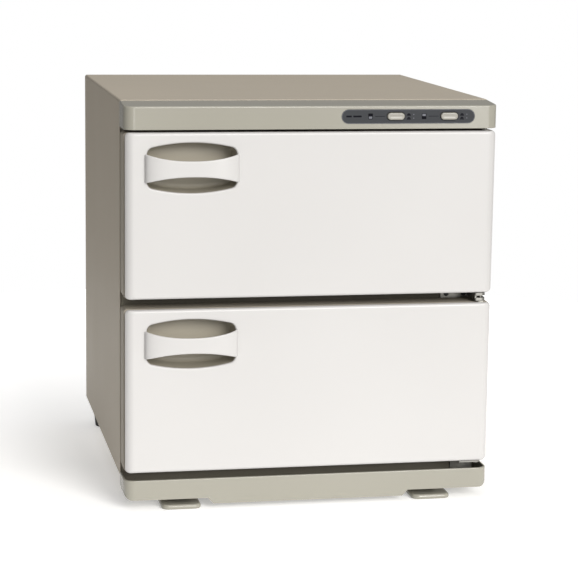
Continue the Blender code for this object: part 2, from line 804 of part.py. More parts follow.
def bottom_hinge(look):
    left = BOTTOM_FLANGE_LEFT
    low, high = BOTTOM_ARM_Z, BOTTOM_ARM_Z + PLATE
    flange = (left, HINGE_X + KNUCKLE, low - 0.018, high)
    made = bracket("bottom_hinge_bracket", flange, [(low, high)], left, FRAME_FRONT - GAP - BRACKET / 2, look)
    pin_hole(made, low, high)
    head = low - GAP
    tip = DOOR_HEIGHTS["lower"][0] + PIN_REACH
    pin = [(PIN_HEAD_RADIUS, head - PIN_HEAD), (PIN_HEAD_RADIUS, head), (PIN_RADIUS, head), (PIN_RADIUS, tip)]
    turned("bottom_hinge_pin", (HINGE_X, HINGE_Y), pin, look)


def magnet_catch(name, look):
    middle = sum(DOOR_HEIGHTS[name]) / 2
    front = Y_FACE + TUB_BACK + 2 * GAP + 0.001
    outline = rounded_box(-0.2192, -0.2032, middle - 0.024, middle + 0.024, 0.003, 2)
    prism(f"{name}_magnet_catch", outline, front, FRAME_FRONT - GAP, look)


# Feet


def feet(looks):
    for side, word in ((-1, "left"), (1, "right")):
        front_foot(word, side * FOOT_X, looks["beige_plastic"])
        profile = [(0.0125, 0), (0.0137, 0.0015), (0.0160, PAN_BOTTOM - 0.004), (0.0160, PAN_BOTTOM - GAP)]
        turned(f"rear_{word}_foot", (side * REAR_FOOT[0], REAR_FOOT[1]), profile, looks["rubber"], 16)


def front_foot(word, x, look):
    """A broad pad under the trim, with a column up to the base pan."""
    half = PAD_HALF_WIDTH
    pad = rounded_box(x - half, x + half, Y_FACE + 0.0015, Y_CASING + 0.026, 0.007, 3)
    foot = prism(f"front_{word}_foot", pad, 0, PAD_HEIGHT, look, "Z")
    half = COLUMN_HALF_WIDTH
    column = rounded_box(x - half, x + half, Y_CASING + 0.0048, Y_CASING + 0.0255, 0.004, 2)
    add(foot, prism(f"front_{word}_column_guide", column, PAD_HEIGHT / 2, PAN_BOTTOM - GAP, None, "Z"))


# Mains side


def inlet_outline(half_x, half_z, chamfer):
    return [
        (INLET_X + half_x, INLET_Z - half_z),
        (INLET_X + half_x, INLET_Z + half_z - chamfer),
        (INLET_X + half_x - chamfer, INLET_Z + half_z),
        (INLET_X - half_x + chamfer, INLET_Z + half_z),
        (INLET_X - half_x, INLET_Z + half_z - chamfer),
        (INLET_X - half_x, INLET_Z - half_z),
    ]


def mains(looks):
    front = Y_PANEL + GAP
    body_back = Y_PANEL - INLET_DEPTH
    rings = [
        (inlet_outline(0.0122, 0.0083, 0.0045), body_back + 0.002),
        (inlet_outline(0.0122, 0.0083, 0.0045), front + 0.002),
        (inlet_outline(0.0165, 0.0130, 0.0020), front + 0.002),
        (inlet_outline(0.0165, 0.0130, 0.0020), front),
        (inlet_outline(0.0138, 0.0100, 0.0015), front),
        (inlet_outline(0.0138, 0.0100, 0.0015), body_back),
    ]
    loft("power_inlet", rings, looks["black_plastic"])
    blades = {"line": (-0.007, -0.002), "neutral": (0.007, -0.002), "earth": (0.0, 0.002)}
    for word, (dx, dz) in blades.items():
        x, z = INLET_X + dx, INLET_Z + dz
        blade = sharp_box(x - 0.001, x + 0.001, z - 0.002, z + 0.002)
        prism(f"inlet_{word}_blade", blade, body_back + 0.002 + GAP, Y_PANEL - 0.001, looks["brass"])
    terminal_block(looks["nylon"])
    looms(body_back, looks)


def terminal_block(look):
    """A comb of five lands, seen from the back."""
    base = PAN_BOTTOM + SHEET + GAP
    slot_floor = TERMINAL_TOP - 0.004
    half = TERMINAL_LAND / 2
    top = []
    for i in range(5):
        x = (2 - i) * TERMINAL_PITCH
        top += [(x + half, slot_floor), (x + half, TERMINAL_TOP)]
        top += [(x - half, TERMINAL_TOP), (x - half, slot_floor)]
    edge = 2 * TERMINAL_PITCH + half + 0.002
    outline = [(edge, base), (edge, slot_floor), *top, (-edge, slot_floor), (-edge, base)]
    prism("terminal_block", outline, TERMINAL_Y - 0.009, TERMINAL_Y + 0.009, look)


def looms(inlet_back, looks):
    """The leads from the inlet to the terminal block, and from there up to the switches."""
    y = TERMINAL_Y
    rest = TERMINAL_TOP + LOOM_RADIUS + GAP
    start = (INLET_X, inlet_back - 0.0034, INLET_Z)
    route = [start, (INLET_X + 0.004, y + 0.012, INLET_Z - 0.006), (-0.100, y + 0.004, 0.070)]
    route += [(-0.050, y, 0.060), (-0.012, y, rest)]
    wire("supply_loom", route, LOOM_RADIUS, looks["cable"])
    x, run_z = SWITCH_LOOM_X, CAP_Z - 0.003
    route = [(0.014, y, rest), (0.045, y - 0.006, 0.075), (0.110, y - 0.010, 0.160)]
    route += [(x, y - 0.014, 0.300), (x, y - 0.022, 0.440), (x, y - 0.055, run_z - 0.001)]
    route += [(x, Y_CASING + 0.180, run_z), (x, Y_CASING + 0.010, run_z), (x, Y_FACE + 0.034, CAP_Z - 0.002)]
    wire("switch_loom", route, LOOM_RADIUS, looks["cable"])


def main():
    clear_scene()
    looks = {
        "beige_metal": material("beige_painted_steel", (0.330, 0.300, 0.250), 0.42),
        "beige_plastic": material("beige_plastic", (0.420, 0.400, 0.340), 0.35),
        "cup": material("cup_plastic", (0.360, 0.330, 0.260), 0.45),
        "white": material("white_plastic", (0.820, 0.810, 0.790), 0.28),
        "label": material("label_film", (0.075, 0.078, 0.095), 0.40),
        "cap": material("cap_plastic", (0.560, 0.540, 0.480), 0.38),
        "black_plastic": material("black_plastic", (0.020, 0.020, 0.020), 0.45),
        "rubber": material("black_rubber", (0.015, 0.015, 0.015), 0.75),
        "chrome": material("hinge_steel", (0.620, 0.610, 0.590), 0.25, 1.0),
        "steel": material("stainless_steel", (0.600, 0.600, 0.590), 0.30, 1.0),
        "liner": material("chamber_aluminium", (0.640, 0.640, 0.640), 0.38, 1.0),
        "aluminium": material("thermostat_aluminium", (0.680, 0.680, 0.680), 0.35, 1.0),
        "tray": material("tray_plastic", (0.700, 0.690, 0.650), 0.40),
        "wool": material("insulation_wool", (0.620, 0.540, 0.330), 0.95),
        "silicone": material("heater_silicone", (0.300, 0.060, 0.030), 0.60),
        "nylon": material("nylon", (0.740, 0.720, 0.660), 0.45),
        "brass": material("plated_brass", (0.700, 0.640, 0.480), 0.30, 1.0),
        "cable": material("cable_jacket", (0.050, 0.050, 0.055), 0.50),
    }
    casing(looks["beige_metal"])
    base_pan(looks["beige_metal"])
    back_panel(looks["beige_metal"])
    front_frame(looks["beige_plastic"])
    top_trim(looks["beige_plastic"])
    bottom_trim(looks["beige_plastic"])
    controls(looks)
    for name in DOOR_HEIGHTS:
        chamber(name, looks)
        door(name, looks)
        magnet_catch(name, looks["black_plastic"])
    for hinge in (top_hinge, middle_hinge, bottom_hinge):
        hinge(looks["chrome"])
    feet(looks)
    mains(looks)


main()
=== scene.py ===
"""Looks of a two-door hot towel cabinet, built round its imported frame. Metres, +Z up, doors towards -Y."""

import json
import math

import bmesh
import bpy
from mathutils import Matrix, Vector, noise


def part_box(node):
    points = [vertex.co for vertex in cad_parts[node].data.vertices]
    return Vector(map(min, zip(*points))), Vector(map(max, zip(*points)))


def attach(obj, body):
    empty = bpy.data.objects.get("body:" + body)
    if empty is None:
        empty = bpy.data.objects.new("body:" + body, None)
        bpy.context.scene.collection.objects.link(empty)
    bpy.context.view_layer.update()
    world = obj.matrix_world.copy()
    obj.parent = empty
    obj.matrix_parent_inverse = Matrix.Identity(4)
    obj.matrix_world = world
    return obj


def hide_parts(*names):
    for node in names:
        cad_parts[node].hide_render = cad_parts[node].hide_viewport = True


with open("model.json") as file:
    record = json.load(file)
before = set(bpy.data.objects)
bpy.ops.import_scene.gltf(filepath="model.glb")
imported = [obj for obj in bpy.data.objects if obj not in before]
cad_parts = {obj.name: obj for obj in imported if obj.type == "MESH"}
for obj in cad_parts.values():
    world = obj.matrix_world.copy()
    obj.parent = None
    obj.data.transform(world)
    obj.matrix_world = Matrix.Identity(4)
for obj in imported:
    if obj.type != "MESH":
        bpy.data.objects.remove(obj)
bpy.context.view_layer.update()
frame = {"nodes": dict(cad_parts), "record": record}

RECORD = frame["record"]
BODY_OF = {node: body for body, nodes in RECORD["behaviour"]["bodies"].items() for node in nodes}
SLOT_OF = {part["node"]: part["material_slot"] for part in RECORD["subparts"]}
LEVELS = ("upper", "lower")

# Planes and sizes read from the frame
CASING_LOW, CASING_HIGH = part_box("outer_casing")
HALF = CASING_HIGH.x
TOP = CASING_HIGH.z
CASING_FRONT = CASING_LOW.y
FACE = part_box("top_trim")[0].y
FRAME_LOW, FRAME_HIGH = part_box("front_frame")
LABEL_LOW, LABEL_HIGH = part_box("control_label")
HINGE_X, HINGE_Y = RECORD["behaviour"]["joints"][0]["pos_m"][:2]

# Sheet and moulding
SHEET = 0.0012
MOULDING = 0.0025
GAP = 0.0003
CASING_BEND = 0.003
TRIM_RADIUS = 0.013
TRIM_EDGE = 0.0018
TRIM_SLOPE = 0.0039
TRIM_STEP = 0.0007

# Door shell
SIDE_RADIUS = 0.012
END_RADIUS = 0.0035
RETURN_DEPTH = 0.006
FRONT_CORNER = 0.0025
BACK_CORNER = 0.005
SHELL_INSET = 0.0058
LIP = 0.0021

# Recess and strap
CUP_RIM = 0.0045
CUP_DEPTH = 0.027
CUP_WALL = 0.002
RECESS_ARC = 0.200
RECESS_CORNER = 0.008
STRAP_HALF_WIDTH = 0.0556
STRAP_BOW = 0.014
STRAP_THICKNESS = 0.0028
STRAP_HALF_MIDDLE = 0.0093
STRAP_HALF_END = 0.0165
STRAP_SPREAD = 2.2
STRAP_POWER = 2.6
STRAP_EDGE = 0.00135
STRAP_FLARE = 0.0016
STRAP_SUNK = 0.0018
STRAP_FIRST_HEIGHTS = (0.0, 0.0002, 0.0005, 0.0009, 0.0014, 0.0020, 0.0028)
CUP_DRAFT = -0.0022
CUP_FILLET = 0.0054
CUP_MOUTH = 0.0006
CUP_DISH = ((0.15, 0.0007), (0.5, 0.0006), (0.8, 0.0003))

# Back panel and front frame
VENT_HALF_WIDTH = 0.002
VENT_HEIGHT = 0.034
VENT_END = 0.0019
VENT_COLUMNS = 10
VENT_PITCH = 0.012
VENT_FIRST = -0.054
VENT_ROWS = (0.118, 0.412)
INLET_HALF_WIDTH = 0.0142
INLET_HALF_HEIGHT = 0.0104
REAR_SCREW_MARGIN = 0.009
REAR_SCREW_ROWS = (0.060, 0.260, 0.455)
REAR_SCREW_COLUMNS = (-0.07, 0.07)
OPENING_RADIUS = 0.0066
LOOM_SLOT = (0.120, 0.142, 0.462, 0.476)

# Trims
TRIM_FOOT = 0.0006
TRIM_LIP = 0.0013
TRIM_END_RISE = 0.0073
TRIM_END_CORNER = 0.010
NOTCH_INNER = 0.117
NOTCH_OUTER = 0.124

# Controls
CAP_CLEARANCE = 0.0008
CAP_EDGE = 0.0016
CAP_DISH = ((0.0026, 0.0001), (0.0036, 0.0004))
RIM_INSETS = (0.0002, 0.0006)
RIM_PROUD = 0.00006
INK_PROUD = 0.00005
INK_SUNK = 0.00002
ICON_OFFSET = 0.0204
ICON_HALF_WIDTH = 0.0027
ICON_HALF_HEIGHT = 0.0034
ICON_BORDER = 0.0006
PANE_HALF_WIDTH = 0.0019
LEADER_START = 0.0056
LEADER_END = 0.0026
LEADER_HALF = 0.00026
DOME_OFFSET = 0.0052
DOME_RADIUS = 0.0022
DOME_LIFTS = (-0.0032, 0.0012)
DOME_BASE_HALF = 0.0026
DOT_OFFSET = 0.0112
DOT_RADIUS = 0.0006
DASHES = ((0.0380, 0.0446), (0.0464, 0.0566))
DASH_HALF = 0.0010

# Inner half of a door: insets from the door's edge and depths
TUB_STEP = 0.0123
TUB_THICKNESS = 0.0025
TUB_WALL = 0.009
TUB_NECK = 0.0046
TUB_INSET = 0.0004
TUB_SOFT = 0.0007
TUB_HEEL = 0.003
TUB_CORNER = 0.0045
TUB_HEEL_CORNER = 0.005
PANEL_CORNER = 0.012
PANEL_STEPS = ((0.0030, 0.0), (0.0036, 0.0003), (0.0050, 0.0010), (0.0056, 0.0012))

# Door seal
SEAL_INSIDE = 0.003
SEAL_OUTSIDE = 0.010
SEAL_EASE = 0.0004
SEAL_FOOT = 0.0005
SEAL_BASE = 0.0012
SEAL_POWER = 0.7

# Latches
CATCH_CORNER = 0.003
POLE_HALF_WIDTH = 0.0052
POLE_HALF_HEIGHT = 0.0058
POLE_SPREAD = 0.0085
POLE_PROUD = 0.0002
POLE_DEPTH = 0.0010
POLE_CORNER = 0.0008

# Hinges
BUSH_BORE = 0.00235
BUSH_EASE = 0.0004
BUSH_ROOM = 0.0006
PIN_RADIUS = 0.0020
PIN_TIP = 0.0005
PIN_HEAD = 0.0015
PIN_HEAD_EDGE = 0.0006
PIN_HOLE = 0.0023
FLANGE = 0.0018
PLATE = 0.0020
MIDDLE_ARM = 0.0034
MIDDLE_ARM_DEPTH = 0.018
MIDDLE_ARM_GAP = 0.0015
WEB = 0.0024
WEB_LEFT = HINGE_X - 0.0081
BRACKET_SCREWS = (0.1790, 0.2010)
BRACKET_SCREW_DROP = 0.0022

# Chambers
LINER_FILLET = 0.006
LINER_FLATTENING = 0.85
RIVET = ((0.0042, -0.0001), (0.0040, 0.0004), (0.0032, 0.0011), (0.0018, 0.0016), (0.0004, 0.0017))
RIVET_SIDE = 0.03
RIVET_LOW = 0.045
RIVET_HIGH = 0.03
FRAME_WIRE = 0.0015
RACK_WIRE = 0.0011
RACK_CORNER = 0.010
RACK_WIRES = 22
CROSS_WIRES = (0.33, 0.67)
WELD_EASE = 0.00002
TRAY_WALL = 0.0012
TRAY_FILLET = 0.004
TRAY_CORNER = 0.008
TRAY_RIM = 0.0003

# Feet
PAD_TOP = 0.0058
PAD_RIM = 0.0030
PAD_CORNER = 0.009
PAD_SOLE = ((0.0012, 0.0), (0.0004, 0.0003), (0.0, 0.0012))
COLUMN_HALF_WIDTH = 0.017
COLUMN_DEPTH = (0.0048, 0.0255)
COLUMN_CORNER = 0.004
STOP_SOLE = ((0.0045, 0.0030), (0.0048, 0.0), (0.0118, 0.0), (0.0125, 0.0004), (0.0129, 0.0012))
STOP_FLARE = 0.0031

# Camera and studio
CAMERA_PLACE = (-0.4892, -2.5335, 0.6828)
CAMERA_AHEAD = (0.19318, 0.96557, -0.17423)
CAMERA_RIGHT = (0.98095, -0.19381, 0.01358)
CAMERA_LENS = 124.87
FLOOR_RADIUS = 1.3
FLOOR_THICKNESS = 0.002

# Fineness of the meshes, and how far a cutter runs past what it cuts
CORNER_STEPS = 8
EDGE_STEPS = 16
ROUND_STEPS = 40
THROUGH = 0.01

CUP_LOW, CUP_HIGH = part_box("upper_handle_cup")
RECESS_X = (CUP_LOW.x + CUP_HIGH.x) / 2
RECESS_HALF_WIDTH = (CUP_HIGH.x - CUP_LOW.x) / 2 - CUP_RIM
RECESS_HALF_HEIGHT = (CUP_HIGH.z - CUP_LOW.z) / 2 - CUP_RIM


# Outlines: lists of 2-D points, anticlockwise


def sweep(start, end, steps):
    """Angles in radians, from start to end in degrees."""
    return [math.radians(start + (end - start) * i / steps) for i in range(steps + 1)]


def arc(x, y, radius, start, end, steps):
    return [(x + radius * math.cos(a), y + radius * math.sin(a)) for a in sweep(start, end, steps)]


def between(a, b, steps):
    """The points strictly between a and b."""
    shares = [i / steps for i in range(1, steps)]
    return [(a[0] + (b[0] - a[0]) * s, a[1] + (b[1] - a[1]) * s) for s in shares]


def rounded_box(x0, x1, y0, y1, radius, steps=CORNER_STEPS, along=1):
    """A box with round corners, its two long edges divided into as many stretches as along says."""
    right_top = arc(x1 - radius, y1 - radius, radius, 0, 90, steps)
    left_top = arc(x0 + radius, y1 - radius, radius, 90, 180, steps)
    left_low = arc(x0 + radius, y0 + radius, radius, 180, 270, steps)
    right_low = arc(x1 - radius, y0 + radius, radius, 270, 360, steps)
    top = between(right_top[-1], left_top[0], along)
    low = between(left_low[-1], right_low[0], along)
    return right_top + top + left_top + left_low + low + right_low


def shrunk(low, high, inset, radius, steps=CORNER_STEPS, upright=True):
    """A box between two corners, shrunk by inset: seen from the front if upright, and else from above."""
    v0, v1 = (low.z, high.z) if upright else (low.y, high.y)
    return rounded_box(low.x + inset, high.x - inset, v0 + inset, v1 - inset, radius, steps)


def centre(low, high):
    return [(a + b) / 2 for a, b in zip(low, high)]


def circle(x, y, radius, steps=ROUND_STEPS):
    return arc(x, y, radius, 0, 360 - 360 / steps, steps - 1)


def stadium(x0, x1, z0, z1, steps=12):
    radius = (z1 - z0) / 2
    right = arc(x1 - radius, z0 + radius, radius, -90, 90, steps)
    return right + arc(x0 + radius, z0 + radius, radius, 90, 270, steps)


def quarter(steps):
    """Points along a quarter round: how far in, from 0 to 1, and how far down, from 1 to 0."""
    return [(1 - math.cos(turn), 1 - math.sin(turn)) for turn in sweep(0, 90, steps)]


def recess_outline(grow):
    """A barrel about the origin: flat ends, long arcs above and below, round corners tangent to both."""
    half_width = RECESS_HALF_WIDTH + grow
    radius = RECESS_ARC + grow
    corner = RECESS_CORNER + grow
    drop = radius - RECESS_HALF_HEIGHT - grow
    corner_x = half_width - corner
    corner_z = math.sqrt((radius - corner) ** 2 - corner_x**2) - drop
    lean = math.degrees(math.atan2(corner_z + drop, corner_x))
    right = arc(corner_x, corner_z, corner, 0, lean, CORNER_STEPS)
    top = arc(0, -drop, radius, lean, 180 - lean, EDGE_STEPS)[1:-1]
    upper_half = right + top + [(-x, z) for x, z in reversed(right)]
    return upper_half + [(-x, -z) for x, z in upper_half]


def trim_plan(inset, back):
    """A trim from above: round front corners and a straight back."""
    half = HALF - inset
    front = FACE + inset
    radius = max(TRIM_RADIUS - inset, 0.0005)
    left = arc(radius - half, front + radius, radius, 180, 270, 12)
    right = arc(half - radius, front + radius, radius, 270, 360, 12)
    return [*left, *right, (half, back), (-half, back)]


# Meshes


def place(point, height, axis):
    """A 2-D point at a height along an axis: X takes (y, z), Y takes (x, z) and Z takes (x, y)."""
    u, v = point
    return {"X": (height, u, v), "Y": (u, height, v), "Z": (u, v, height)}[axis]


def into_scene(obj):
    bpy.context.scene.collection.objects.link(obj)
    return obj


def to_object(name, bm, sharp=35):
    """An object from a mesh, smooth but for edges that turn more than sharp degrees."""
    bmesh.ops.recalc_face_normals(bm, faces=bm.faces)
    mesh = bpy.data.meshes.new(name)
    bm.to_mesh(mesh)
    bm.free()
    return smoothed(into_scene(bpy.data.objects.new(name, mesh)), sharp)


def smoothed(obj, sharp=35):
    obj.data.shade_smooth()
    obj.data.set_sharp_from_angle(angle=math.radians(sharp))
    if "even" not in obj.modifiers:
        even = obj.modifiers.new("even", "WEIGHTED_NORMAL")
        even.keep_sharp = True
    return obj


def skin(name, rings, closed=False, sharp=35):
    """Quads between rings of 3-D points. The end rings are joined if closed, and capped if not."""
    bm = bmesh.new()
    rows = [[bm.verts.new(p) for p in ring] for ring in rings]
    pairs = list(zip(rows, rows[1:]))
    if closed:
        pairs.append((rows[-1], rows[0]))
    else:
        bm.faces.new(rows[0])
        bm.faces.new(rows[-1])
    for low, high in pairs:
        for i, vert in enumerate(low):
            after = (i + 1) % len(low)
            bm.faces.new((vert, low[after], high[after], high[i]))
    return to_object(name, bm, sharp)


def loft(name, rings, axis="Y", closed=False, sharp=35):
    """A skin over flat rings, given as (outline, height)."""
    return skin(name, [[place(p, height, axis) for p in outline] for outline, height in rings], closed, sharp)


def prism(name, outline, low, high, axis="Y"):
    return loft(name, [(outline, low), (outline, high)], axis)


def cutter(name, outline, low, high, axis="Y"):
    """A prism that runs past both its ends."""
    return prism(name, outline, low - THROUGH, high + THROUGH, axis)


def slab(name, outline, low, high, edge, steps=4):
    """A plate with rounded rims: outline(inset) is its outline, shrunk by inset."""
    rims = [(outline(edge * down), low + edge * inward) for inward, down in quarter(steps)]
    return loft(name, rims + [(o, low + high - h) for o, h in reversed(rims)])


def turned(name, middle, profile, axis="Z", steps=ROUND_STEPS):
    """A round piece: profile is a list of (radius, height along its axis)."""
    return loft(name, [(circle(*middle, radius, steps), height) for radius, height in profile], axis)


def tube(name, points, radius, sides=14, closed=False):
    """A round wire along a path, its frame carried from point to point."""
    path = [Vector(p) for p in points]
    count = len(path)
    rings = []
    across = None
    for i, point in enumerate(path):
        before = path[i - 1] if i or closed else path[0]
        after = path[(i + 1) % count] if i < count - 1 or closed else path[-1]
        along = (after - before).normalized()
        if across is None:
            across = along.orthogonal().normalized()
        across = (across - along * across.dot(along)).normalized()
        up = along.cross(across)
        turns = [2 * math.pi * k / sides for k in range(sides)]
        rings.append([point + (across * math.cos(t) + up * math.sin(t)) * radius for t in turns])
    return skin(name, rings, closed, sharp=60)


def carve(obj, cutters, operation="DIFFERENCE", sharp=35):
    """Cuts the cutters from obj, or adds them to it, and removes them."""
    obj.modifiers.clear()
    for tool in cutters:
        tool.modifiers.clear()
        cutting = obj.modifiers.new("cut", "BOOLEAN")
        cutting.operation = operation
        cutting.object = tool
    graph = bpy.context.evaluated_depsgraph_get()
    made = bpy.data.meshes.new_from_object(obj.evaluated_get(graph))
    obj.modifiers.clear()
    obj.data = made
    for tool in cutters:
        bpy.data.objects.remove(tool)
    return smoothed(obj, sharp)


def bevelled(obj, width, segments, angle):
    bevel = obj.modifiers.new("ease", "BEVEL")
    bevel.width = width
    bevel.segments = segments
    bevel.limit_method = "ANGLE"
    bevel.angle_limit = math.radians(angle)
    return bevel


def eased(obj, width=0.0004, segments=3, angle=40):
    """Rounds the sharp edges of a piece."""
    obj.modifiers.clear()
    bevelled(obj, width, segments, angle).miter_outer = "MITER_ARC"
    return smoothed(obj, angle)


def joined(name, objects):
    """One object from several."""
    bm = bmesh.new()
    for obj in objects:
        obj.data.transform(obj.matrix_basis)
        bm.from_mesh(obj.data)
        bpy.data.objects.remove(obj)
    return to_object(name, bm)


def lumpy(node, name, cell, amount):
    """A blanket in a CAD node's space: its faces divided, and pulled in and out a little."""
    bm = bmesh.new()
    bm.from_mesh(frame["nodes"][node].data)
    bmesh.ops.remove_doubles(bm, verts=bm.verts, dist=1e-5)
    bmesh.ops.dissolve_limit(bm, angle_limit=0.02, verts=bm.verts, edges=bm.edges)
    bmesh.ops.triangulate(bm, faces=bm.faces)
    for _ in range(6):
        long = [e for e in bm.edges if e.calc_length() > cell]
        if long:
            bmesh.ops.subdivide_edges(bm, edges=long, cuts=1, use_grid_fill=True)
            bmesh.ops.triangulate(bm, faces=bm.faces)
    bm.normal_update()
    inward = {v: -amount * (0.6 + noise.noise(v.co * 60) + 0.5 * noise.noise(v.co * 170)) for v in bm.verts}
    for vert, move in inward.items():
        vert.co += vert.normal * min(move, 0.0)
    return to_object(name, bm, sharp=80)


# Materials: each is a Principled shader with its own fine texture, in object coordinates


class Look:
    """A material whose colour, roughness and relief are built up from textures."""

    def __init__(self, name, color, roughness, metallic=0.0, **sockets):
        self.material = bpy.data.materials.new(name)
        self.material.use_nodes = True
        self.tree = self.material.node_tree
        self.shader = self.tree.nodes["Principled BSDF"]
        self.color = color
        self.shader.inputs["Base Color"].default_value = (*color, 1.0)
        self.shader.inputs["Roughness"].default_value = roughness
        self.shader.inputs["Metallic"].default_value = metallic
        for socket, value in sockets.items():
            self.shader.inputs[socket.replace("_", " ").title().replace("Ior", "IOR")].default_value = value
        self.coords = self.add("ShaderNodeTexCoord").outputs["Object"]
        self.normal = None
        self.tone = None

    def add(self, kind, **inputs):
        node = self.tree.nodes.new(kind)
        for name, value in inputs.items():
            socket = node.inputs[name.replace("_", " ")]
            if isinstance(value, bpy.types.NodeSocket):
                self.tree.links.new(value, socket)
            else:
                socket.default_value = value
        return node

    def combine(self, kind, operation, first, second):
        """A maths node that works on two values."""
        node = self.add(kind)
        node.operation = operation
        self.tree.links.new(first, node.inputs[0])
        self.tree.links.new(second, node.inputs[1])
        return node

    def noise(self, scale, detail=3.0, stretch=(1.0, 1.0, 1.0)):
        mapped = self.add("ShaderNodeMapping", Vector=self.coords, Scale=stretch)
        texture = self.add("ShaderNodeTexNoise", Vector=mapped.outputs[0], Scale=scale, Detail=detail)
        return texture.outputs["Fac"]

    def speckle(self, scale, size):
        """White dots on black: the near part of each cell."""
        cells = self.add("ShaderNodeTexVoronoi", Vector=self.coords, Scale=scale)
        return self.span(cells.outputs["Distance"], size, 0.0, 0.0, 1.0)

    def span(self, value, from_low, from_high, low, high):
        limits = {"From_Min": from_low, "From_Max": from_high, "To_Min": low, "To_Max": high}
        return self.add("ShaderNodeMapRange", Value=value, **limits).outputs["Result"]

    def mottle(self, value, low, high):
        """Multiplies the colour by low to high as the texture goes from dark to light."""
        factor = self.span(value, 0.3, 0.7, low, high)
        if self.tone is not None:
            factor = self.combine("ShaderNodeMath", "MULTIPLY", self.tone, factor).outputs[0]
        self.tone = factor
        return self

    def gloss(self, value, low, high):
        result = self.span(value, 0.3, 0.7, low, high)
        self.tree.links.new(result, self.shader.inputs["Roughness"])
        return self

    def relief(self, value, depth, strength=1.0):
        bump = self.add("ShaderNodeBump", Height=value, Distance=depth, Strength=strength)
        if self.normal is not None:
            self.tree.links.new(self.normal, bump.inputs["Normal"])
        self.normal = bump.outputs["Normal"]
        return self

    def painted_crevice_shade(self, distance, darkest):
        """Painted shade: darkens the colour of what lies in corners and slots, by ambient occlusion."""
        shade = self.add("ShaderNodeAmbientOcclusion", Distance=distance)
        shade.samples = 8
        return self.mottle(self.span(shade.outputs["AO"], 0.0, 1.0, 0.3, 0.7), darkest, 1.0)

    def worn_edges(self, radius, amount):
        """Lightens convex edges, by how far the bevelled normal leans from the true one."""
        bevel = self.add("ShaderNodeBevel", Radius=radius)
        bevel.samples = 6
        true = self.add("ShaderNodeNewGeometry").outputs["Normal"]
        dot = self.combine("ShaderNodeVectorMath", "DOT_PRODUCT", bevel.outputs[0], true)
        return self.mottle(self.span(dot.outputs["Value"], 1.0, 0.9, 0.3, 0.7), 1.0, 1.0 + amount)

    def done(self):
        if self.tone is not None:
            mix = self.add("ShaderNodeMix")
            mix.data_type = "RGBA"
            mix.blend_type = "MULTIPLY"
            mix.inputs["Factor"].default_value = 1.0
            mix.inputs[6].default_value = (*self.color, 1.0)
            self.tree.links.new(self.tone, mix.inputs[7])
            self.tree.links.new(mix.outputs[2], self.shader.inputs["Base Color"])
        if self.normal is not None:
            self.tree.links.new(self.normal, self.shader.inputs["Normal"])
        return self.material


def powder_coat(name, color):
    look = Look(name, color, 0.55, specular_ior_level=0.12)
    look.mottle(look.noise(3, 1), 0.985, 1.015)
    look.mottle(look.noise(2600, 1), 0.96, 1.04)
    # Painted shade in corners and slots, from ambient occlusion.
    look.painted_crevice_shade(0.008, 0.86)
    look.gloss(look.noise(8, 1), 0.52, 0.60)
    return look.relief(look.noise(900, 1), 0.00006).done()


def moulded(name, color, roughness, texture=0.00002, crevice_shade=0.85, specular=0.5, shade_reach=0.006):
    """A plastic moulding: a fine spark-eroded texture, faint unevenness and painted shade in its corners."""
    look = Look(name, color, roughness, specular_ior_level=specular)
    look.mottle(look.noise(4, 1), 0.985, 1.015)
    # Painted shade in corners and slots, from ambient occlusion.
    look.painted_crevice_shade(shade_reach, crevice_shade)
    look.gloss(look.noise(7, 1), roughness - 0.02, roughness + 0.03)
    return look.relief(look.noise(1600, 2), texture).done()


def brushed(name, color, roughness, stretch):
    """Metal with lines along one axis, fine scratches and a few duller patches."""
    look = Look(name, color, roughness, 1.0)
    scale = 700
    lines = look.noise(scale, 3, stretch)
    look.mottle(lines, 0.90, 1.06)
    look.mottle(look.noise(14, 3), 0.95, 1.03)
    look.gloss(look.noise(scale / 3, 4, stretch), roughness - 0.07, roughness + 0.10)
    # Painted shade in corners and slots, from ambient occlusion.
    look.painted_crevice_shade(0.004, 0.75)
    return look.relief(lines, 0.00002).done()


def plated(name, color, roughness):
    look = Look(name, color, roughness, 1.0)
    look.mottle(look.noise(90, 4), 0.88, 1.05)
    look.gloss(look.noise(300, 5), roughness - 0.06, roughness + 0.14)
    # Strong painted shade in corners and slots, reaching 2 cm, from ambient occlusion.
    look.painted_crevice_shade(0.020, 0.4)
    look.worn_edges(0.0004, 0.15)
    return look.relief(look.noise(1800, 2), 0.00001).done()


def rubber(name, color, roughness=0.7):
    look = Look(name, color, roughness)
    look.mottle(look.noise(50, 4), 0.85, 1.2)
    look.mottle(look.speckle(700, 0.25), 1.0, 1.25)
    look.gloss(look.noise(120, 3), roughness - 0.08, roughness + 0.08)
    return look.relief(look.noise(1400, 3), 0.00004).done()


def wool(name, color):
    look = Look(name, color, 0.95, sheen_weight=0.4)
    look.mottle(look.noise(220, 6, (1.0, 0.35, 1.0)), 0.65, 1.2)
    look.mottle(look.noise(25, 4), 0.85, 1.1)
    look.relief(look.noise(320, 8, (1.0, 0.4, 1.0)), 0.0012)
    return look.relief(look.noise(30, 4), 0.003, 0.6).done()


def woven_silicone(name, color):
    """A heater mat: rubber on glass cloth, whose weave shows through."""
    look = Look(name, color, 0.6)
    waves = []
    for axis in ("X", "Y"):
        wave = look.add("ShaderNodeTexWave", Vector=look.coords, Scale=320.0)
        wave.bands_direction = axis
        waves.append(wave.outputs["Fac"])
    look.mottle(waves[0], 0.85, 1.1)
    look.mottle(waves[1], 0.85, 1.1)
    look.relief(waves[0], 0.0001)
    return look.relief(waves[1], 0.0001).done()


def inked(name, color):
    look = Look(name, color, 0.7, specular_ior_level=0.1)
    look.mottle(look.noise(1500, 3), 0.85, 1.15)
    return look.relief(look.noise(2500, 2), 0.00001).done()


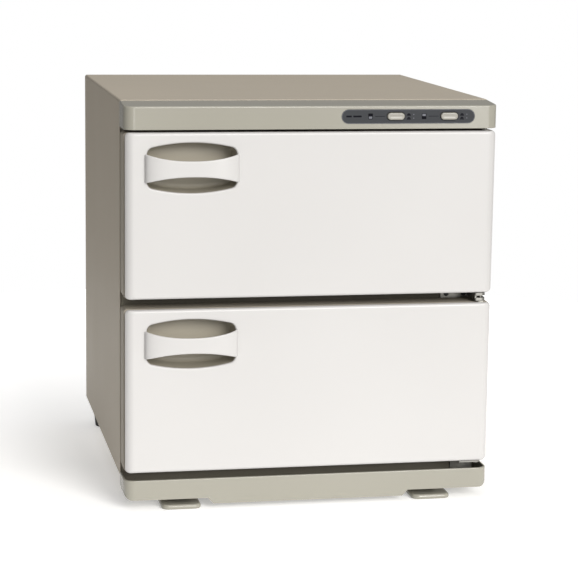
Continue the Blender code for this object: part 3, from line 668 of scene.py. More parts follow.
LOOKS = {
    "beige_steel": powder_coat("powder_coated_steel", (0.430, 0.385, 0.318)),
    "beige_plastic": moulded("beige_moulding", (0.290, 0.279, 0.236), 0.19, specular=0.4),
    "cup_plastic": moulded("cup_moulding", (0.290, 0.266, 0.212), 0.42, specular=0.35),
    "white_plastic": moulded("white_moulding", (0.500, 0.491, 0.482), 0.32, crevice_shade=0.9, specular=0.45),
    "label_film": moulded("label_film", (0.040, 0.042, 0.046), 0.50, 0.00003, specular=0.12),
    "cap_plastic": moulded("cap_moulding", (0.290, 0.279, 0.245), 0.33),
    "black_plastic": moulded("black_moulding", (0.016, 0.016, 0.017), 0.42, 0.00004),
    "black_rubber": rubber("black_rubber", (0.014, 0.014, 0.014)),
    "hinge_steel": plated("zinc_plated_steel", (0.400, 0.390, 0.360), 0.34),
    "stainless_steel": plated("stainless_wire", (0.600, 0.595, 0.585), 0.24),
    "chamber_aluminium": brushed("mill_aluminium", (0.640, 0.640, 0.645), 0.36, (1.0, 0.03, 1.0)),
    "thermostat_case": brushed("pressed_aluminium", (0.660, 0.660, 0.660), 0.34, (1.0, 1.0, 0.1)),
    "tray_plastic": moulded("tray_moulding", (0.640, 0.630, 0.590), 0.40),
    "insulation_wool": wool("glass_wool", (0.620, 0.540, 0.330)),
    "heater_silicone": woven_silicone("heater_silicone", (0.300, 0.060, 0.030)),
    "nylon": moulded("natural_nylon", (0.700, 0.680, 0.610), 0.45),
    "plated_brass": plated("plated_brass", (0.700, 0.620, 0.430), 0.28),
    "cable_jacket": rubber("cable_jacket", (0.040, 0.040, 0.045), 0.5),
}
# The front frame's look paints shade: strong ambient-occlusion darkening over 4.5 cm stands in for the shadow
# in the gaps between and under the doors.
SHADED_FRAME_LOOK = moulded(
    "frame_moulding_painted_shade", (0.300, 0.275, 0.220), 0.60, 0.00004, crevice_shade=0.25, specular=0.1, shade_reach=0.045
)
TUB_LOOK = moulded("tub_moulding", (0.330, 0.300, 0.250), 0.55, 0.00004, specular=0.1)
DARK_INK = inked("dark_ink", (0.003, 0.003, 0.006))
# Pale ink prints the pictograms' pale marks, and also paints the highlight rim round the label.
PALE_INK_AND_RIM_HIGHLIGHT = inked("pale_ink_and_rim_highlight", (0.150, 0.155, 0.175))


# Putting pieces on the frame


def dress(obj, slot, look=None):
    obj.data.materials.clear()
    obj.data.materials.append(look or LOOKS[slot])
    return obj


def stand_for(obj, node, look=None):
    """The piece takes a CAD node's place, body and finish."""
    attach(obj, BODY_OF[node])
    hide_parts(node)
    return dress(obj, SLOT_OF[node], look)


def trimming(obj, body, slot, look=None):
    """A piece with no CAD node of its own."""
    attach(obj, body)
    return dress(obj, slot, look)


def keep(node, width):
    """A CAD node that stays, with its edges rounded and its slot's material."""
    obj = frame["nodes"][node]
    weld = obj.modifiers.new("weld", "WELD")
    weld.merge_threshold = 0.00001
    bevelled(obj, width, 2, 35)
    even = obj.modifiers.new("even", "WEIGHTED_NORMAL")
    even.keep_sharp = True
    obj.data.shade_smooth()
    return dress(obj, SLOT_OF[node])


def screw_heads(name, points, axis, outward, radius=0.0032):
    """Domed heads with a cross recess, on a face across an axis."""
    height = 0.0012
    heads = []
    for number, (u, v, base) in enumerate(points):
        profile = [(radius * 0.6, base - outward * 0.0002), (radius, base)]
        for turn in sweep(0, 90, 6)[:-1]:
            spread = radius * math.cos(turn) + radius * 0.12 * math.sin(turn)
            profile.append((spread, base + outward * height * (0.25 + 0.75 * math.sin(turn))))
        head = turned(f"{name}_{number}", (u, v), profile, axis, 24)
        tip = base + outward * height
        arm, width = radius * 0.62, radius * 0.13
        slots = []
        for half_u, half_v in ((arm, width), (width, arm)):
            outline = rounded_box(u - half_u, u + half_u, v - half_v, v + half_v, width * 0.5, 2)
            ends = sorted((tip - outward * height * 0.55, tip + outward * 0.001))
            slots.append(prism(f"{name}_slot", outline, *ends, axis))
        heads.append(carve(head, slots))
    return joined(name, heads)


# Casing


def casing():
    half, bend = HALF, CASING_BEND
    bottom = CASING_LOW.z

    def hoop(inset):
        radius = bend - inset
        right = [(half - inset, bottom)] + arc(half - bend, TOP - bend, radius, 0, 90, 8)
        return right + arc(bend - half, TOP - bend, radius, 90, 180, 8) + [(inset - half, bottom)]

    wrap = prism("casing_wrap", hoop(0) + hoop(SHEET)[::-1], CASING_FRONT, CASING_HIGH.y)
    stand_for(eased(wrap, 0.00055, 3, 60), "outer_casing")


def back():
    low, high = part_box("back_panel")
    panel = prism("rear_panel", shrunk(low, high, 0, 0.002, 3), low.y, high.y)
    cutters = []
    for column in range(VENT_COLUMNS):
        x = VENT_PITCH * column + VENT_FIRST
        for z in VENT_ROWS:
            vent = rounded_box(x - VENT_HALF_WIDTH, x + VENT_HALF_WIDTH, z, z + VENT_HEIGHT, VENT_END, 4)
            cutters.append(cutter("vent", vent, low.y, high.y))
    x, _, z = centre(*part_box("power_inlet"))
    width, height = INLET_HALF_WIDTH, INLET_HALF_HEIGHT
    hole = rounded_box(x - width, x + width, z - height, z + height, 0.001, 3)
    cutters.append(cutter("inlet_hole", hole, low.y, high.y))
    carve(panel, cutters)
    stand_for(eased(panel, 0.0002, 2, 60), "back_panel")
    margin = REAR_SCREW_MARGIN
    spots = [(x, z, high.y) for x in (low.x + margin, high.x - margin) for z in REAR_SCREW_ROWS]
    spots += [(x, z, high.y) for x in REAR_SCREW_COLUMNS for z in (low.z + margin, high.z - margin)]
    trimming(screw_heads("rear_screws", spots, "Y", 1), "root", "hinge_steel")


def front_surround():
    low, high = FRAME_LOW, FRAME_HIGH
    plate = prism("front_surround", shrunk(low, high, 0, 0.002, 3), low.y, high.y)
    openings = [shrunk(*chamber_inside(level), 0, OPENING_RADIUS) for level in LEVELS]
    openings.append(rounded_box(*LOOM_SLOT, 0.002, 3))
    carve(plate, [cutter("opening", opening, low.y, high.y) for opening in openings])
    stand_for(eased(plate, 0.0007, 3, 50), "front_frame", SHADED_FRAME_LOOK)


# Trims


def top_trim():
    low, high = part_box("top_trim")
    back_y = high.y
    front_top = high.z - TRIM_SLOPE

    def on_slope(outline, drop):
        rise = (TRIM_SLOPE - TRIM_STEP) / (back_y - FACE)
        return [(x, y, front_top + (y - FACE) * rise - drop) for x, y in outline]

    rings = []
    for inward, down in quarter(3):
        rings.append([(x, y, low.z + TRIM_FOOT * inward) for x, y in trim_plan(TRIM_FOOT * down, back_y)])
    for inward, down in quarter(7):
        rings.append(on_slope(trim_plan(TRIM_EDGE * inward, back_y), TRIM_EDGE * down))
    trim = skin("top_fascia", rings)
    hollow = trim_plan(MOULDING, back_y + THROUGH)
    label_seat = stadium(LABEL_LOW.x - GAP, LABEL_HIGH.x + GAP, LABEL_LOW.z - GAP, LABEL_HIGH.z + GAP)
    cutters = [
        prism("hollow", hollow, low.z - THROUGH, front_top - MOULDING, "Z"),
        prism("label_seat", label_seat, FACE - THROUGH, LABEL_HIGH.y + GAP),
    ]
    cutters += [cutter("cap_slot", cap_outline(level, CAP_CLEARANCE), FACE, FACE) for level in LEVELS]
    carve(trim, cutters)
    stand_for(trim, "top_trim")


def bottom_trim():
    """A lipped fascia whose two ends stop higher than its middle."""
    low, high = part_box("bottom_trim")
    back_y = high.y
    rings = [(trim_plan(0, back_y), low.z)]
    for inward, down in quarter(5):
        rings.append((trim_plan(TRIM_LIP * inward, back_y), high.z - TRIM_LIP * down))
    trim = loft("bottom_fascia", rings, "Z")
    end_z = low.z + TRIM_END_RISE
    under = low.z - THROUGH
    hollow = trim_plan(MOULDING, back_y + THROUGH)
    cutters = [
        prism("hollow", hollow, end_z + MOULDING, high.z + THROUGH, "Z"),
        prism("skirt", hollow, under, end_z, "Z"),
    ]
    corner = TRIM_END_CORNER
    beyond = HALF + corner
    for side in (-1, 1):
        steps = [(side * NOTCH_INNER, under), (side * NOTCH_INNER, low.z), (side * NOTCH_OUTER, end_z)]
        steps += arc(side * (HALF - corner), end_z + corner, corner, 270, 270 + side * 90, 10)
        steps += [(side * beyond, end_z + corner), (side * beyond, under)]
        cutters.append(cutter("trim_end", steps, FACE, back_y))
    carve(trim, cutters)
    stand_for(eased(trim, 0.0005, 3, 50), "bottom_trim")


# Controls


def cap_outline(level, grow):
    low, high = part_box(f"{level}_rocker_cap")
    return stadium(low.x - grow, high.x + grow, low.z - grow, high.z + grow)


def rocker_cap(level):
    """A domed cap with a shallow dish in its middle."""
    low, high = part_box(f"{level}_rocker_cap")
    rings = [(cap_outline(level, 0), high.y)]
    for inward, down in quarter(6):
        rings.append((cap_outline(level, -CAP_EDGE * inward), low.y + CAP_EDGE * down))
    for inset, depth in CAP_DISH:
        rings.append((cap_outline(level, -inset), low.y + depth))
    stand_for(loft(f"{level}_cap", rings), f"{level}_rocker_cap")


def label():
    low, high = LABEL_LOW, LABEL_HIGH

    def outline(inset):
        return stadium(low.x + inset, high.x - inset, low.z + inset, high.z - inset)

    film = slab("control_film", outline, low.y, high.y, edge=0.0002, steps=2)
    carve(film, [cutter("hole", cap_outline(level, CAP_CLEARANCE), low.y, high.y) for level in LEVELS])
    stand_for(film, "control_label")
    # The pale rim round the label is a painted highlight: a pale ring standing in for light on the trim's
    # recess edge.
    outer, inner = [outline(inset) for inset in RIM_INSETS]
    proud = low.y - RIM_PROUD
    rim = loft("label_painted_highlight_rim", [(outer, low.y), (outer, proud), (inner, proud), (inner, low.y)], closed=True)
    trimming(rim, "root", "label_film", PALE_INK_AND_RIM_HIGHLIGHT)
    for level in LEVELS:
        pictograms(level, low.y)


def mark(outline, surface):
    return prism("mark", outline, surface - INK_PROUD, surface + INK_SUNK)


def bar(x0, x1, z0, z1, corner, surface, steps=3):
    return mark(rounded_box(x0, x1, z0, z1, corner, steps), surface)


def cabinet_icon(level, x, z, surface):
    """The dark and the pale marks of a framed box whose upper or lower half is filled in."""
    width, height, border = ICON_HALF_WIDTH, ICON_HALF_HEIGHT, ICON_BORDER
    side = 1 if level == "upper" else -1
    left, right, bottom, top = x - width, x + width, z - height, z + height
    whole = rounded_box(left, right, bottom, top, 0.0007, 3)
    inner = rounded_box(left + border, right - border, bottom + border, top - border, 0.0002, 3)
    near, behind = surface - INK_PROUD, surface + INK_SUNK
    window = loft("mark", [(whole, behind), (whole, near), (inner, near), (inner, behind)], closed=True)
    filled = sorted((z, z + side * height))
    pane = sorted((z - side * 0.0003, z - side * (height - border - 0.0001)))
    dark = [window, bar(left, right, *filled, 0.0004, surface)]
    pale = [bar(x - PANE_HALF_WIDTH, x + PANE_HALF_WIDTH, *pane, 0.0002, surface)]
    return dark, pale


def pictograms(level, surface):
    """Plain marks beside a rocker: a cabinet half filled in, a leader line, and two domes with dots."""
    low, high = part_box(f"{level}_rocker_cap")
    middle = centre(low, high)[2]
    icon_x = low.x - ICON_OFFSET
    dark, pale = cabinet_icon(level, icon_x, middle, surface)
    start, end = icon_x + LEADER_START, low.x - LEADER_END
    dark.append(bar(start, end, middle - LEADER_HALF, middle + LEADER_HALF, 0.0002, surface, 2))
    dome_x = high.x + DOME_OFFSET
    for lift in DOME_LIFTS:
        base = middle + lift
        left, right = dome_x - DOME_BASE_HALF, dome_x + DOME_BASE_HALF
        dark.append(mark(arc(dome_x, base, DOME_RADIUS, 0, 180, 12), surface))
        dark.append(bar(left, right, base - 0.0009, base - 0.0003, 0.00015, surface, 2))
        pale.append(mark(circle(high.x + DOT_OFFSET, base + 0.0009, DOT_RADIUS, 16), surface))
    if level == "upper":
        for x0, x1 in DASHES:
            dark.append(bar(x0, x1, middle - DASH_HALF, middle + DASH_HALF, 0.0005, surface))
    trimming(joined(f"{level}_marks_dark", dark), "root", "label_film", DARK_INK)
    trimming(joined(f"{level}_marks_pale", pale), "root", "label_film", PALE_INK_AND_RIM_HIGHLIGHT)


# Doors


def at_depth(outline, depth):
    return [(x, FACE + depth, z) for x, z in outline]


def recess_ring(level, grow, depth, scale=1.0):
    middle = centre(*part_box(f"{level}_handle_cup"))[2]
    return [(RECESS_X + x * scale, FACE + depth, middle + z * scale) for x, z in recess_outline(grow)]


def door_shell(level):
    """Flat front with a lipped recess, quarter-round sides cut off at the return, small round ends."""
    low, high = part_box(f"{level}_door_shell")

    def outside(turn):
        side = SIDE_RADIUS * (1 - math.sin(turn))
        depth = SIDE_RADIUS * (1 - math.cos(turn))
        left = max(END_RADIUS - depth, 0.0)
        end = END_RADIUS - math.sqrt(END_RADIUS**2 - left**2)
        corner = FRONT_CORNER + (BACK_CORNER - FRONT_CORNER) * depth / RETURN_DEPTH
        outline = rounded_box(side - HALF, HALF - side, low.z + end, high.z - end, corner, along=EDGE_STEPS)
        return at_depth(outline, depth)

    inner_half = HALF - SHELL_INSET
    inner_low, inner_high = low.z + MOULDING, high.z - MOULDING
    inner = rounded_box(-inner_half, inner_half, inner_low, inner_high, MOULDING, along=EDGE_STEPS)
    rings = [recess_ring(level, 0, MOULDING)]
    rings += [recess_ring(level, LIP * inward, LIP * down) for inward, down in quarter(5)]
    last = math.acos(1 - RETURN_DEPTH / SIDE_RADIUS)
    rings += [outside(last * i / 12) for i in range(13)]
    rings += [at_depth(inner, RETURN_DEPTH), at_depth(inner, MOULDING)]
    shell = skin(f"{level}_front_shell", rings, closed=True)
    shell = carve(shell, [strap(level)], "UNION", 40)
    stand_for(shell, f"{level}_door_shell")


def bow(angle, half_width, height):
    """Superellipse: steep at its roots, almost flat across its middle."""
    power = 2 / STRAP_POWER
    x = -half_width * math.copysign(abs(math.cos(angle)) ** power, math.cos(angle))
    return x, height * max(math.sin(angle), 0.0) ** power


def strap(level):
    """The grip: a bowed band with rounded edges, narrow in its middle, flared where it meets the face."""
    middle = centre(*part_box(f"{level}_handle_cup"))[2]
    angles = [math.asin((h / STRAP_BOW) ** (STRAP_POWER / 2)) for h in STRAP_FIRST_HEIGHTS]
    first = angles[-1]
    roots = len(angles)
    angles += [first + (math.pi - 2 * first) * i / 44 for i in range(1, 44)]
    angles += [math.pi - a for a in reversed(angles[:roots])]
    rings = []
    for angle in angles:
        outer_x, outer_y = bow(angle, STRAP_HALF_WIDTH, STRAP_BOW)
        inner_x, inner_y = bow(angle, STRAP_HALF_WIDTH - STRAP_THICKNESS, STRAP_BOW - STRAP_THICKNESS)
        if outer_y < STRAP_FLARE:
            lean = 1 - outer_y / STRAP_FLARE
            outer_x += math.copysign(STRAP_FLARE * (1 - math.sqrt(1 - lean * lean)), outer_x)
        spread = min(abs(outer_x / STRAP_HALF_WIDTH), 1.0) ** STRAP_SPREAD
        half = STRAP_HALF_MIDDLE + (STRAP_HALF_END - STRAP_HALF_MIDDLE) * spread
        ring = []
        for share, z in band_section(half):
            x = inner_x + (outer_x - inner_x) * share
            y = inner_y + (outer_y - inner_y) * share
            ring.append((RECESS_X + x, FACE - y, middle + z))
        rings.append(ring)
    first_root, last_root = [[(x, FACE + STRAP_SUNK, z) for x, _, z in rings[end]] for end in (0, -1)]
    return skin(f"{level}_strap", [first_root, *rings, last_root], sharp=50)


def band_section(half):
    """A rounded section: share 0 to 1 across the thickness, and a height."""
    edge = STRAP_EDGE / STRAP_THICKNESS
    high, low = half - STRAP_EDGE, STRAP_EDGE - half
    points = []
    for share, z, start in ((1 - edge, high, 0), (edge, high, 90), (edge, low, 180), (1 - edge, low, 270)):
        for turn in sweep(start, start + 90, 5):
            points.append((share + edge * math.cos(turn), z + STRAP_EDGE * math.sin(turn)))
    return points


def handle_cup(level):
    """The finger pocket: a rim behind the shell, drafted walls, a round fillet and a shallow dished floor."""
    front = MOULDING + GAP
    start = CUP_DEPTH - CUP_FILLET
    floor_grow = CUP_DRAFT - CUP_FILLET
    turns = sweep(0, 90, 8)
    rings = [recess_ring(level, floor_grow, CUP_DEPTH - rise, scale) for scale, rise in CUP_DISH]
    for turn in reversed(turns):
        grow = CUP_DRAFT - CUP_FILLET * (1 - math.cos(turn))
        rings.append(recess_ring(level, grow, start + CUP_FILLET * math.sin(turn)))
    rings.append(recess_ring(level, CUP_DRAFT * 0.5, (front + start) / 2))
    rings.append(recess_ring(level, CUP_MOUTH, front))
    rings += [recess_ring(level, CUP_RIM, front), recess_ring(level, CUP_RIM, front + CUP_WALL)]
    rings.append(recess_ring(level, CUP_MOUTH + CUP_WALL, front + CUP_WALL))
    for turn in turns[::2]:
        grow = CUP_DRAFT - CUP_FILLET * (1 - math.cos(turn)) + CUP_WALL * math.cos(turn)
        rings.append(recess_ring(level, grow, start + (CUP_FILLET + CUP_WALL) * math.sin(turn)))
    outside = CUP_DEPTH + CUP_WALL
    rings += [recess_ring(level, floor_grow, outside - rise, scale) for scale, rise in reversed(CUP_DISH)]
    stand_for(skin(f"{level}_finger_cup", rings), f"{level}_handle_cup")


def chamber_inside(level):
    """Lowest and highest corner of the space inside a chamber."""
    low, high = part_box(f"{level}_chamber_liner")
    wall = Vector((SHEET, 0, SHEET))
    return low + wall, high - wall


def door_tub(level):
    """The inner half of the door, with a pressed panel inside the gasket's line."""
    low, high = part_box(f"{level}_door_inner_tub")
    shell_low, shell_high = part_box(f"{level}_door_shell")
    tub_back = high.y - FACE
    neck_front = low.y - FACE

    def around(inset, depth, corner=TUB_CORNER):
        outline = rounded_box(inset - HALF, HALF - inset, shell_low.z + inset, shell_high.z - inset, corner)
        return at_depth(outline, depth)

    rings = [around(TUB_WALL, tub_back - TUB_THICKNESS), around(TUB_WALL, neck_front)]
    rings += [around(TUB_NECK, neck_front), around(TUB_NECK, TUB_STEP)]
    for inward, down in quarter(4):
        rings.append(around(TUB_INSET + TUB_SOFT * down, TUB_STEP + TUB_SOFT * inward))
    for inward, down in quarter(6):
        rings.append(around(TUB_INSET + TUB_HEEL * inward, tub_back - TUB_HEEL * down, TUB_HEEL_CORNER))
    for margin, rise in PANEL_STEPS:
        rings.append(at_depth(shrunk(*chamber_inside(level), margin, PANEL_CORNER), tub_back - rise))
    tub = skin(f"{level}_door_tub", rings)
    cutters = []
    for end in ("bottom", "top"):
        bush_low, bush_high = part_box(f"{level}_door_{end}_bush")
        hole = circle(HINGE_X, HINGE_Y, (bush_high.x - bush_low.x) / 2 + GAP)
        cutters.append(prism("bush_hole", hole, bush_low.z - BUSH_ROOM, bush_high.z + BUSH_ROOM, "Z"))
    carve(tub, cutters)
    stand_for(tub, f"{level}_door_inner_tub", TUB_LOOK)


def door_gasket(level):
    """A seal with a flat foot, and a bulb that meets the frame."""
    low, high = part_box(f"{level}_door_gasket")
    near = low.y
    inside, outside = SEAL_INSIDE, SEAL_OUTSIDE
    half = (outside - inside) / 2
    middle = (inside + outside) / 2
    rise = high.y - near - SEAL_BASE
    section = [(inside + SEAL_EASE, near), (outside - SEAL_EASE, near), (outside, near + SEAL_FOOT)]
    for turn in sweep(0, 180, 12):
        bulge = near + SEAL_BASE + rise * math.sin(turn) ** SEAL_POWER
        section.append((middle + half * math.cos(turn), bulge))
    section.append((inside, near + SEAL_FOOT))
    rings = [(shrunk(*chamber_inside(level), -grow, OPENING_RADIUS + grow), y) for grow, y in section]
    stand_for(loft(f"{level}_seal", rings, closed=True, sharp=50), f"{level}_door_gasket")


def upright_slab(name, node, edge):
    """A rounded plate in a node's box, facing along Y."""
    low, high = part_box(node)
    radius = (high.x - low.x) / 2 - 0.0001

    def outline(inset):
        return shrunk(low, high, inset, max(min(radius, 0.006) - inset, 0.0003))

    return slab(name, outline, low.y, high.y, edge=edge)


def magnet_pole(x, z, face):
    low = Vector((x - POLE_HALF_WIDTH, 0.0, z - POLE_HALF_HEIGHT))
    high = Vector((x + POLE_HALF_WIDTH, 0.0, z + POLE_HALF_HEIGHT))

    def outline(inset):
        return shrunk(low, high, inset, POLE_CORNER)

    return slab("pole", outline, face - POLE_PROUD, face + POLE_DEPTH, edge=0.0002)


def latch(level):
    plate = upright_slab(f"{level}_strike", f"{level}_strike_plate", 0.0003)
    stand_for(plate, f"{level}_strike_plate")
    low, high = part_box(f"{level}_magnet_catch")
    body = prism(f"{level}_catch", shrunk(low, high, 0, CATCH_CORNER), low.y, high.y)
    stand_for(eased(body, 0.0004), f"{level}_magnet_catch")
    x, _, middle_z = centre(low, high)
    poles = [magnet_pole(x, z, low.y) for z in (middle_z - POLE_SPREAD, middle_z + POLE_SPREAD)]
    trimming(joined(f"{level}_magnet_poles", poles), "root", "stainless_steel")


def bush(level, end):
    node = f"{level}_door_{end}_bush"
    low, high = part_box(node)
    outer, inner, ease = (high.x - low.x) / 2, BUSH_BORE, BUSH_EASE
    section = [(inner, low.z + ease), (inner + ease, low.z), (outer - ease, low.z), (outer, low.z + ease)]
    section += [(radius, low.z + high.z - z) for radius, z in reversed(section)]
    rings = [(circle(HINGE_X, HINGE_Y, radius), z) for radius, z in section]
    stand_for(loft(f"{level}_{end}_bushing", rings, "Z", closed=True), node)


# Hinge brackets


def arm_outline(left, back_y, radius):
    nose = arc(HINGE_X, HINGE_Y, radius, 0, -90, 12)
    corner = 0.002
    front = HINGE_Y - radius
    heel = arc(left + corner, front + corner, corner, 270, 180, 6)
    return [(HINGE_X + radius, back_y), *nose, *heel, (left, back_y)]


def finished_bracket(plate, parts, node):
    """Joins the parts to the plate, bores it for the pin and rounds its edges."""
    low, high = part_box(node)
    carve(plate, parts, "UNION")
    carve(plate, [cutter("pin_hole", circle(HINGE_X, HINGE_Y, PIN_HOLE), low.z, high.z, "Z")])
    stand_for(eased(plate, 0.0003, 2, 50), node)


def middle_bracket():
    """Two arms between the doors, joined by an upright web, on a flange with two screws."""
    low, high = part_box("middle_hinge_bracket")
    knuckle = high.x - HINGE_X
    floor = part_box("lower_door_shell")[1].z
    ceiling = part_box("upper_door_shell")[0].z
    flange_front = high.y - FLANGE
    outline = rounded_box(low.x, WEB_LEFT + WEB, low.z, high.z, 0.0015, 4)
    plate = prism("middle_bracket", outline, flange_front, high.y)
    arm = arm_outline(WEB_LEFT, high.y - MIDDLE_ARM_DEPTH, knuckle)
    heights = (floor + MIDDLE_ARM_GAP, ceiling - MIDDLE_ARM_GAP - MIDDLE_ARM)
    parts = [prism("arm", arm, z, z + MIDDLE_ARM, "Z") for z in heights]
    side = rounded_box(WEB_LEFT, WEB_LEFT + WEB, HINGE_Y - knuckle + 0.0012, high.y - 0.0005, 0.0004, 2)
    ease = MIDDLE_ARM_GAP + 0.0002
    parts.append(prism("web", side, floor + ease, ceiling - ease, "Z"))
    finished_bracket(plate, parts, "middle_hinge_bracket")
    screw_z = (floor + ceiling) / 2 - BRACKET_SCREW_DROP
    spots = [(x, screw_z, flange_front) for x in BRACKET_SCREWS]
    trimming(screw_heads("middle_bracket_screws", spots, "Y", -1, 0.0031), "root", "black_plastic")


def end_bracket(end):
    """An angle plate at the top or the bottom, with one arm over or under the door."""
    node = f"{end}_hinge_bracket"
    low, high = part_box(node)
    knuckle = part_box("middle_hinge_bracket")[1].x - HINGE_X
    arm_z = low.z if end == "top" else high.z - PLATE
    plate = prism(f"{end}_bracket", shrunk(low, high, 0, 0.0012, 4), high.y - FLANGE, high.y)
    arm = prism("arm", arm_outline(low.x, high.y - FLANGE / 2, knuckle), arm_z, arm_z + PLATE, "Z")
    finished_bracket(plate, [arm], node)


def hinge_pin(end):
    """A pin with bevelled tips; those at the top and the bottom have a flat head."""
    node = f"{end}_hinge_pin"
    low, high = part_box(node)
    radius, tip = PIN_RADIUS, PIN_TIP
    profile = [(radius - tip, low.z), (radius, low.z + tip), (radius, high.z - tip), (radius - tip, high.z)]
    head = (high.x - low.x) / 2
    flat_head = ((head * 0.8, 0.0), (head, PIN_HEAD_EDGE), (head, PIN_HEAD), (radius, PIN_HEAD))
    if end == "top":
        profile[2:] = [(r, high.z - depth) for r, depth in reversed(flat_head)]
    if end == "bottom":
        profile[:2] = [(r, low.z + depth) for r, depth in flat_head]
    stand_for(turned(f"{end}_pin", (HINGE_X, HINGE_Y), profile), node)


# Chambers


def chamber(level):
    low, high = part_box(f"{level}_chamber_liner")
    inner_low, inner_high = chamber_inside(level)
    near, far = low.y, high.y - SHEET

    def around(grow, y):
        return shrunk(inner_low, inner_high, -grow, max(LINER_FILLET + grow, 0.0008)), y

    rings = []
    for inward, down in reversed(quarter(6)):
        rings.append(around(-LINER_FILLET * inward * LINER_FLATTENING, far - LINER_FILLET * down))
    rings += [around(0, near), around(SHEET, near), around(SHEET, far + SHEET)]
    stand_for(loft(f"{level}_liner", rings), f"{level}_chamber_liner")
    rivets = []
    for x in (inner_low.x + RIVET_SIDE, inner_high.x - RIVET_SIDE):
        for z in (inner_low.z + RIVET_LOW, inner_high.z - RIVET_HIGH):
            profile = [(radius, far - rise) for radius, rise in RIVET]
            rivets.append(turned("rivet", (x, z), profile, "Y", 24))
    trimming(joined(f"{level}_liner_rivets", rivets), "root", "chamber_aluminium")


def towel_rack(level):
    """Round wires welded to a frame wire, over two cross wires."""
    low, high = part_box(f"{level}_towel_rack")
    thick, thin = FRAME_WIRE, RACK_WIRE
    left, right = low.x + thick, high.x - thick
    front, rear = low.y + thick, high.y - thick
    middle_z = centre(low, high)[2]
    loop = rounded_box(left, right, front, rear, RACK_CORNER, 8, 6)
    parts = [tube("wire", [(x, y, middle_z) for x, y in loop], thick - WELD_EASE, closed=True)]
    span = high.x - low.x - 2 * RACK_CORNER
    for i in range(RACK_WIRES):
        x = low.x + RACK_CORNER + span * i / (RACK_WIRES - 1)
        parts.append(tube("wire", [(x, front, high.z - thin), (x, rear, high.z - thin)], thin, 10))
    for share in CROSS_WIRES:
        y = low.y + (high.y - low.y) * share
        parts.append(tube("wire", [(left, y, low.z + thin), (right, y, low.z + thin)], thin, 10))
    stand_for(joined(f"{level}_wire_rack", parts), f"{level}_towel_rack")


def drip_tray(level):
    low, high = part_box(f"{level}_drip_tray")

    def around(inset, z):
        return shrunk(low, high, inset, max(TRAY_CORNER - inset, 0.0008), upright=False), z

    brim = high.z - TRAY_RIM
    rings = [around(TRAY_FILLET * down, low.z + TRAY_FILLET * inward) for inward, down in quarter(4)]
    rings += [around(0, brim), around(TRAY_RIM, high.z)]
    rings += [around(TRAY_WALL - TRAY_RIM, high.z), around(TRAY_WALL, brim)]
    for inward, down in reversed(quarter(4)):
        rings.append(around(TRAY_WALL + TRAY_FILLET * down, low.z + TRAY_WALL + TRAY_FILLET * inward))
    stand_for(loft(f"{level}_tray", rings, "Z"), f"{level}_drip_tray")


# Feet


def front_foot(side):
    """A broad pad with a rounded rim, and the column that carries it."""
    node = f"front_{side}_foot"
    low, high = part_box(node)

    def pad(inset):
        return shrunk(low, high, inset, PAD_CORNER - inset, upright=False)

    rings = [(pad(inset), z) for inset, z in PAD_SOLE]
    rings += [(pad(PAD_RIM * inward), PAD_TOP - PAD_RIM * down) for inward, down in quarter(6)]
    foot = loft(f"front_{side}_pad", rings, "Z")
    middle = centre(low, high)[0]
    front, rear = [CASING_FRONT + depth for depth in COLUMN_DEPTH]
    column = rounded_box(middle - COLUMN_HALF_WIDTH, middle + COLUMN_HALF_WIDTH, front, rear, COLUMN_CORNER)
    carve(foot, [prism("column", column, 0.003, high.z, "Z")], "UNION")
    stand_for(foot, node)


def rear_foot(side):
    """A rubber stop, dimpled underneath and wider towards its top."""
    node = f"rear_{side}_foot"
    low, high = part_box(node)
    radius, start = STOP_SOLE[-1]
    flare = [(radius + STOP_FLARE * i / 6, start + (high.z - 0.0052) * i / 6) for i in range(1, 7)]
    profile = [*STOP_SOLE, *flare, (0.0160, high.z - 0.0010), (0.0156, high.z)]
    stand_for(turned(f"rear_{side}_stop", centre(low, high)[:2], profile), node)


# Lining that can't be seen from outside, and the mains side


def inner_pieces():
    for level in LEVELS:
        for part in ("insulation", "door_insulation"):
            node = f"{level}_{part}"
            blanket = lumpy(node, f"{level}_{part}_blanket", 0.016, 0.0009)
            stand_for(blanket, node)
        keep(f"{level}_heater_mat", 0.0002)
        keep(f"{level}_thermostat", 0.0002)
        keep(f"{level}_switch_body", 0.0004)
    for node in ("base_pan", "power_inlet", "inlet_line_blade", "inlet_neutral_blade", "inlet_earth_blade"):
        keep(node, 0.0002)
    keep("terminal_block", 0.0003)
    for node in ("supply_loom", "switch_loom"):
        obj = frame["nodes"][node]
        obj.data.shade_smooth()
        dress(obj, SLOT_OF[node])


# Studio


def aim(obj, position, target):
    obj.location = position
    obj.rotation_mode = "QUATERNION"
    obj.rotation_quaternion = (Vector(target) - Vector(position)).to_track_quat("-Z", "Y")
    into_scene(obj)


def area_light(name, position, target, width, height, power):
    lamp = bpy.data.lights.new(name, "AREA")
    lamp.shape = "RECTANGLE"
    lamp.size = width
    lamp.size_y = height
    lamp.energy = power
    aim(bpy.data.objects.new(name, lamp), position, target)


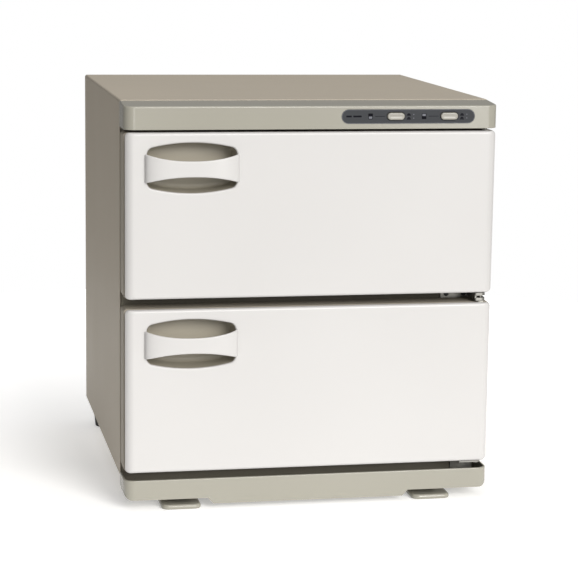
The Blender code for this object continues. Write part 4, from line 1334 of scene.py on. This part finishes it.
def studio():
    scene = bpy.context.scene
    scene.view_settings.view_transform = "Standard"
    scene.view_settings.look = "None"

    world = bpy.data.worlds.new("soft_white")
    world.use_nodes = True
    scene.world = world
    tree = world.node_tree
    dim = tree.nodes["Background"]
    dim.inputs["Color"].default_value = (1.0, 0.985, 0.96, 1.0)
    dim.inputs["Strength"].default_value = 0.25
    white = tree.nodes.new("ShaderNodeBackground")
    white.inputs["Strength"].default_value = 1.0
    white.inputs["Color"].default_value = (1.0, 1.0, 1.0, 1.0)
    seen = tree.nodes.new("ShaderNodeLightPath")
    mix = tree.nodes.new("ShaderNodeMixShader")
    tree.links.new(seen.outputs["Is Camera Ray"], mix.inputs[0])
    tree.links.new(dim.outputs[0], mix.inputs[1])
    tree.links.new(white.outputs[0], mix.inputs[2])
    tree.links.new(mix.outputs[0], tree.nodes["World Output"].inputs["Surface"])

    sun = bpy.data.lights.new("key", "SUN")
    sun.energy = 3.1
    sun.angle = math.radians(30)
    sun.color = (1.0, 0.985, 0.965)
    aim(bpy.data.objects.new("key", sun), (0.68, -1.95, 0.90), (0.0, 0.0, 0.0))
    area_light("top_fill", (0.1, 0.15, 1.5), (0.0, 0.05, 0.4), 1.2, 1.2, 3.5)
    area_light("overhead_strip", (0.0, -1.25, 1.55), (0.0, -0.25, 0.3), 1.6, 0.12, 4.5)
    area_light("left_panel", (-0.40, -2.9, 0.22), (-0.2, -0.2, 0.4), 0.7, 0.26, 4.0)
    area_light("right_panel", (1.10, -2.9, 0.30), (0.1, -0.2, 0.4), 0.6, 0.7, 7.0)

    floor = prism("floor", circle(0, 0, FLOOR_RADIUS, 96), -FLOOR_THICKNESS, 0.0, "Z")
    paper = Look("studio_floor", (0.93, 0.93, 0.93), 0.9)
    paper.shader.inputs["Emission Color"].default_value = (1.0, 1.0, 1.0, 1.0)
    paper.mottle(paper.noise(3, 2), 0.995, 1.0)
    along = paper.add("ShaderNodeSeparateXYZ", Vector=paper.coords)
    glow = paper.span(along.outputs["Y"], 0.0, 0.9, 0.32, 0.90)
    paper.tree.links.new(glow, paper.shader.inputs["Emission Strength"])
    floor.data.materials.append(paper.done())


def camera():
    """Slightly from the left and from above, with a long lens."""
    ahead = Vector(CAMERA_AHEAD).normalized()
    right = Vector(CAMERA_RIGHT).normalized()
    up = right.cross(ahead).normalized()
    data = bpy.data.cameras.new("camera")
    data.sensor_width = 36.0
    data.lens = CAMERA_LENS
    data.clip_end = 200.0
    obj = bpy.data.objects.new("camera", data)
    turn = Matrix((right, up, -ahead)).transposed().to_4x4()
    obj.matrix_world = Matrix.Translation(CAMERA_PLACE) @ turn
    bpy.context.scene.camera = into_scene(obj)


def main():
    camera()
    casing()
    back()
    front_surround()
    top_trim()
    bottom_trim()
    label()
    for level in LEVELS:
        rocker_cap(level)
        door_shell(level)
        handle_cup(level)
        door_tub(level)
        door_gasket(level)
        latch(level)
        bush(level, "top")
        bush(level, "bottom")
        chamber(level)
        towel_rack(level)
        drip_tray(level)
    middle_bracket()
    for end in ("top", "bottom"):
        end_bracket(end)
    for end in ("top", "middle", "bottom"):
        hinge_pin(end)
    for side in ("left", "right"):
        front_foot(side)
        rear_foot(side)
    inner_pieces()
    studio()


main()
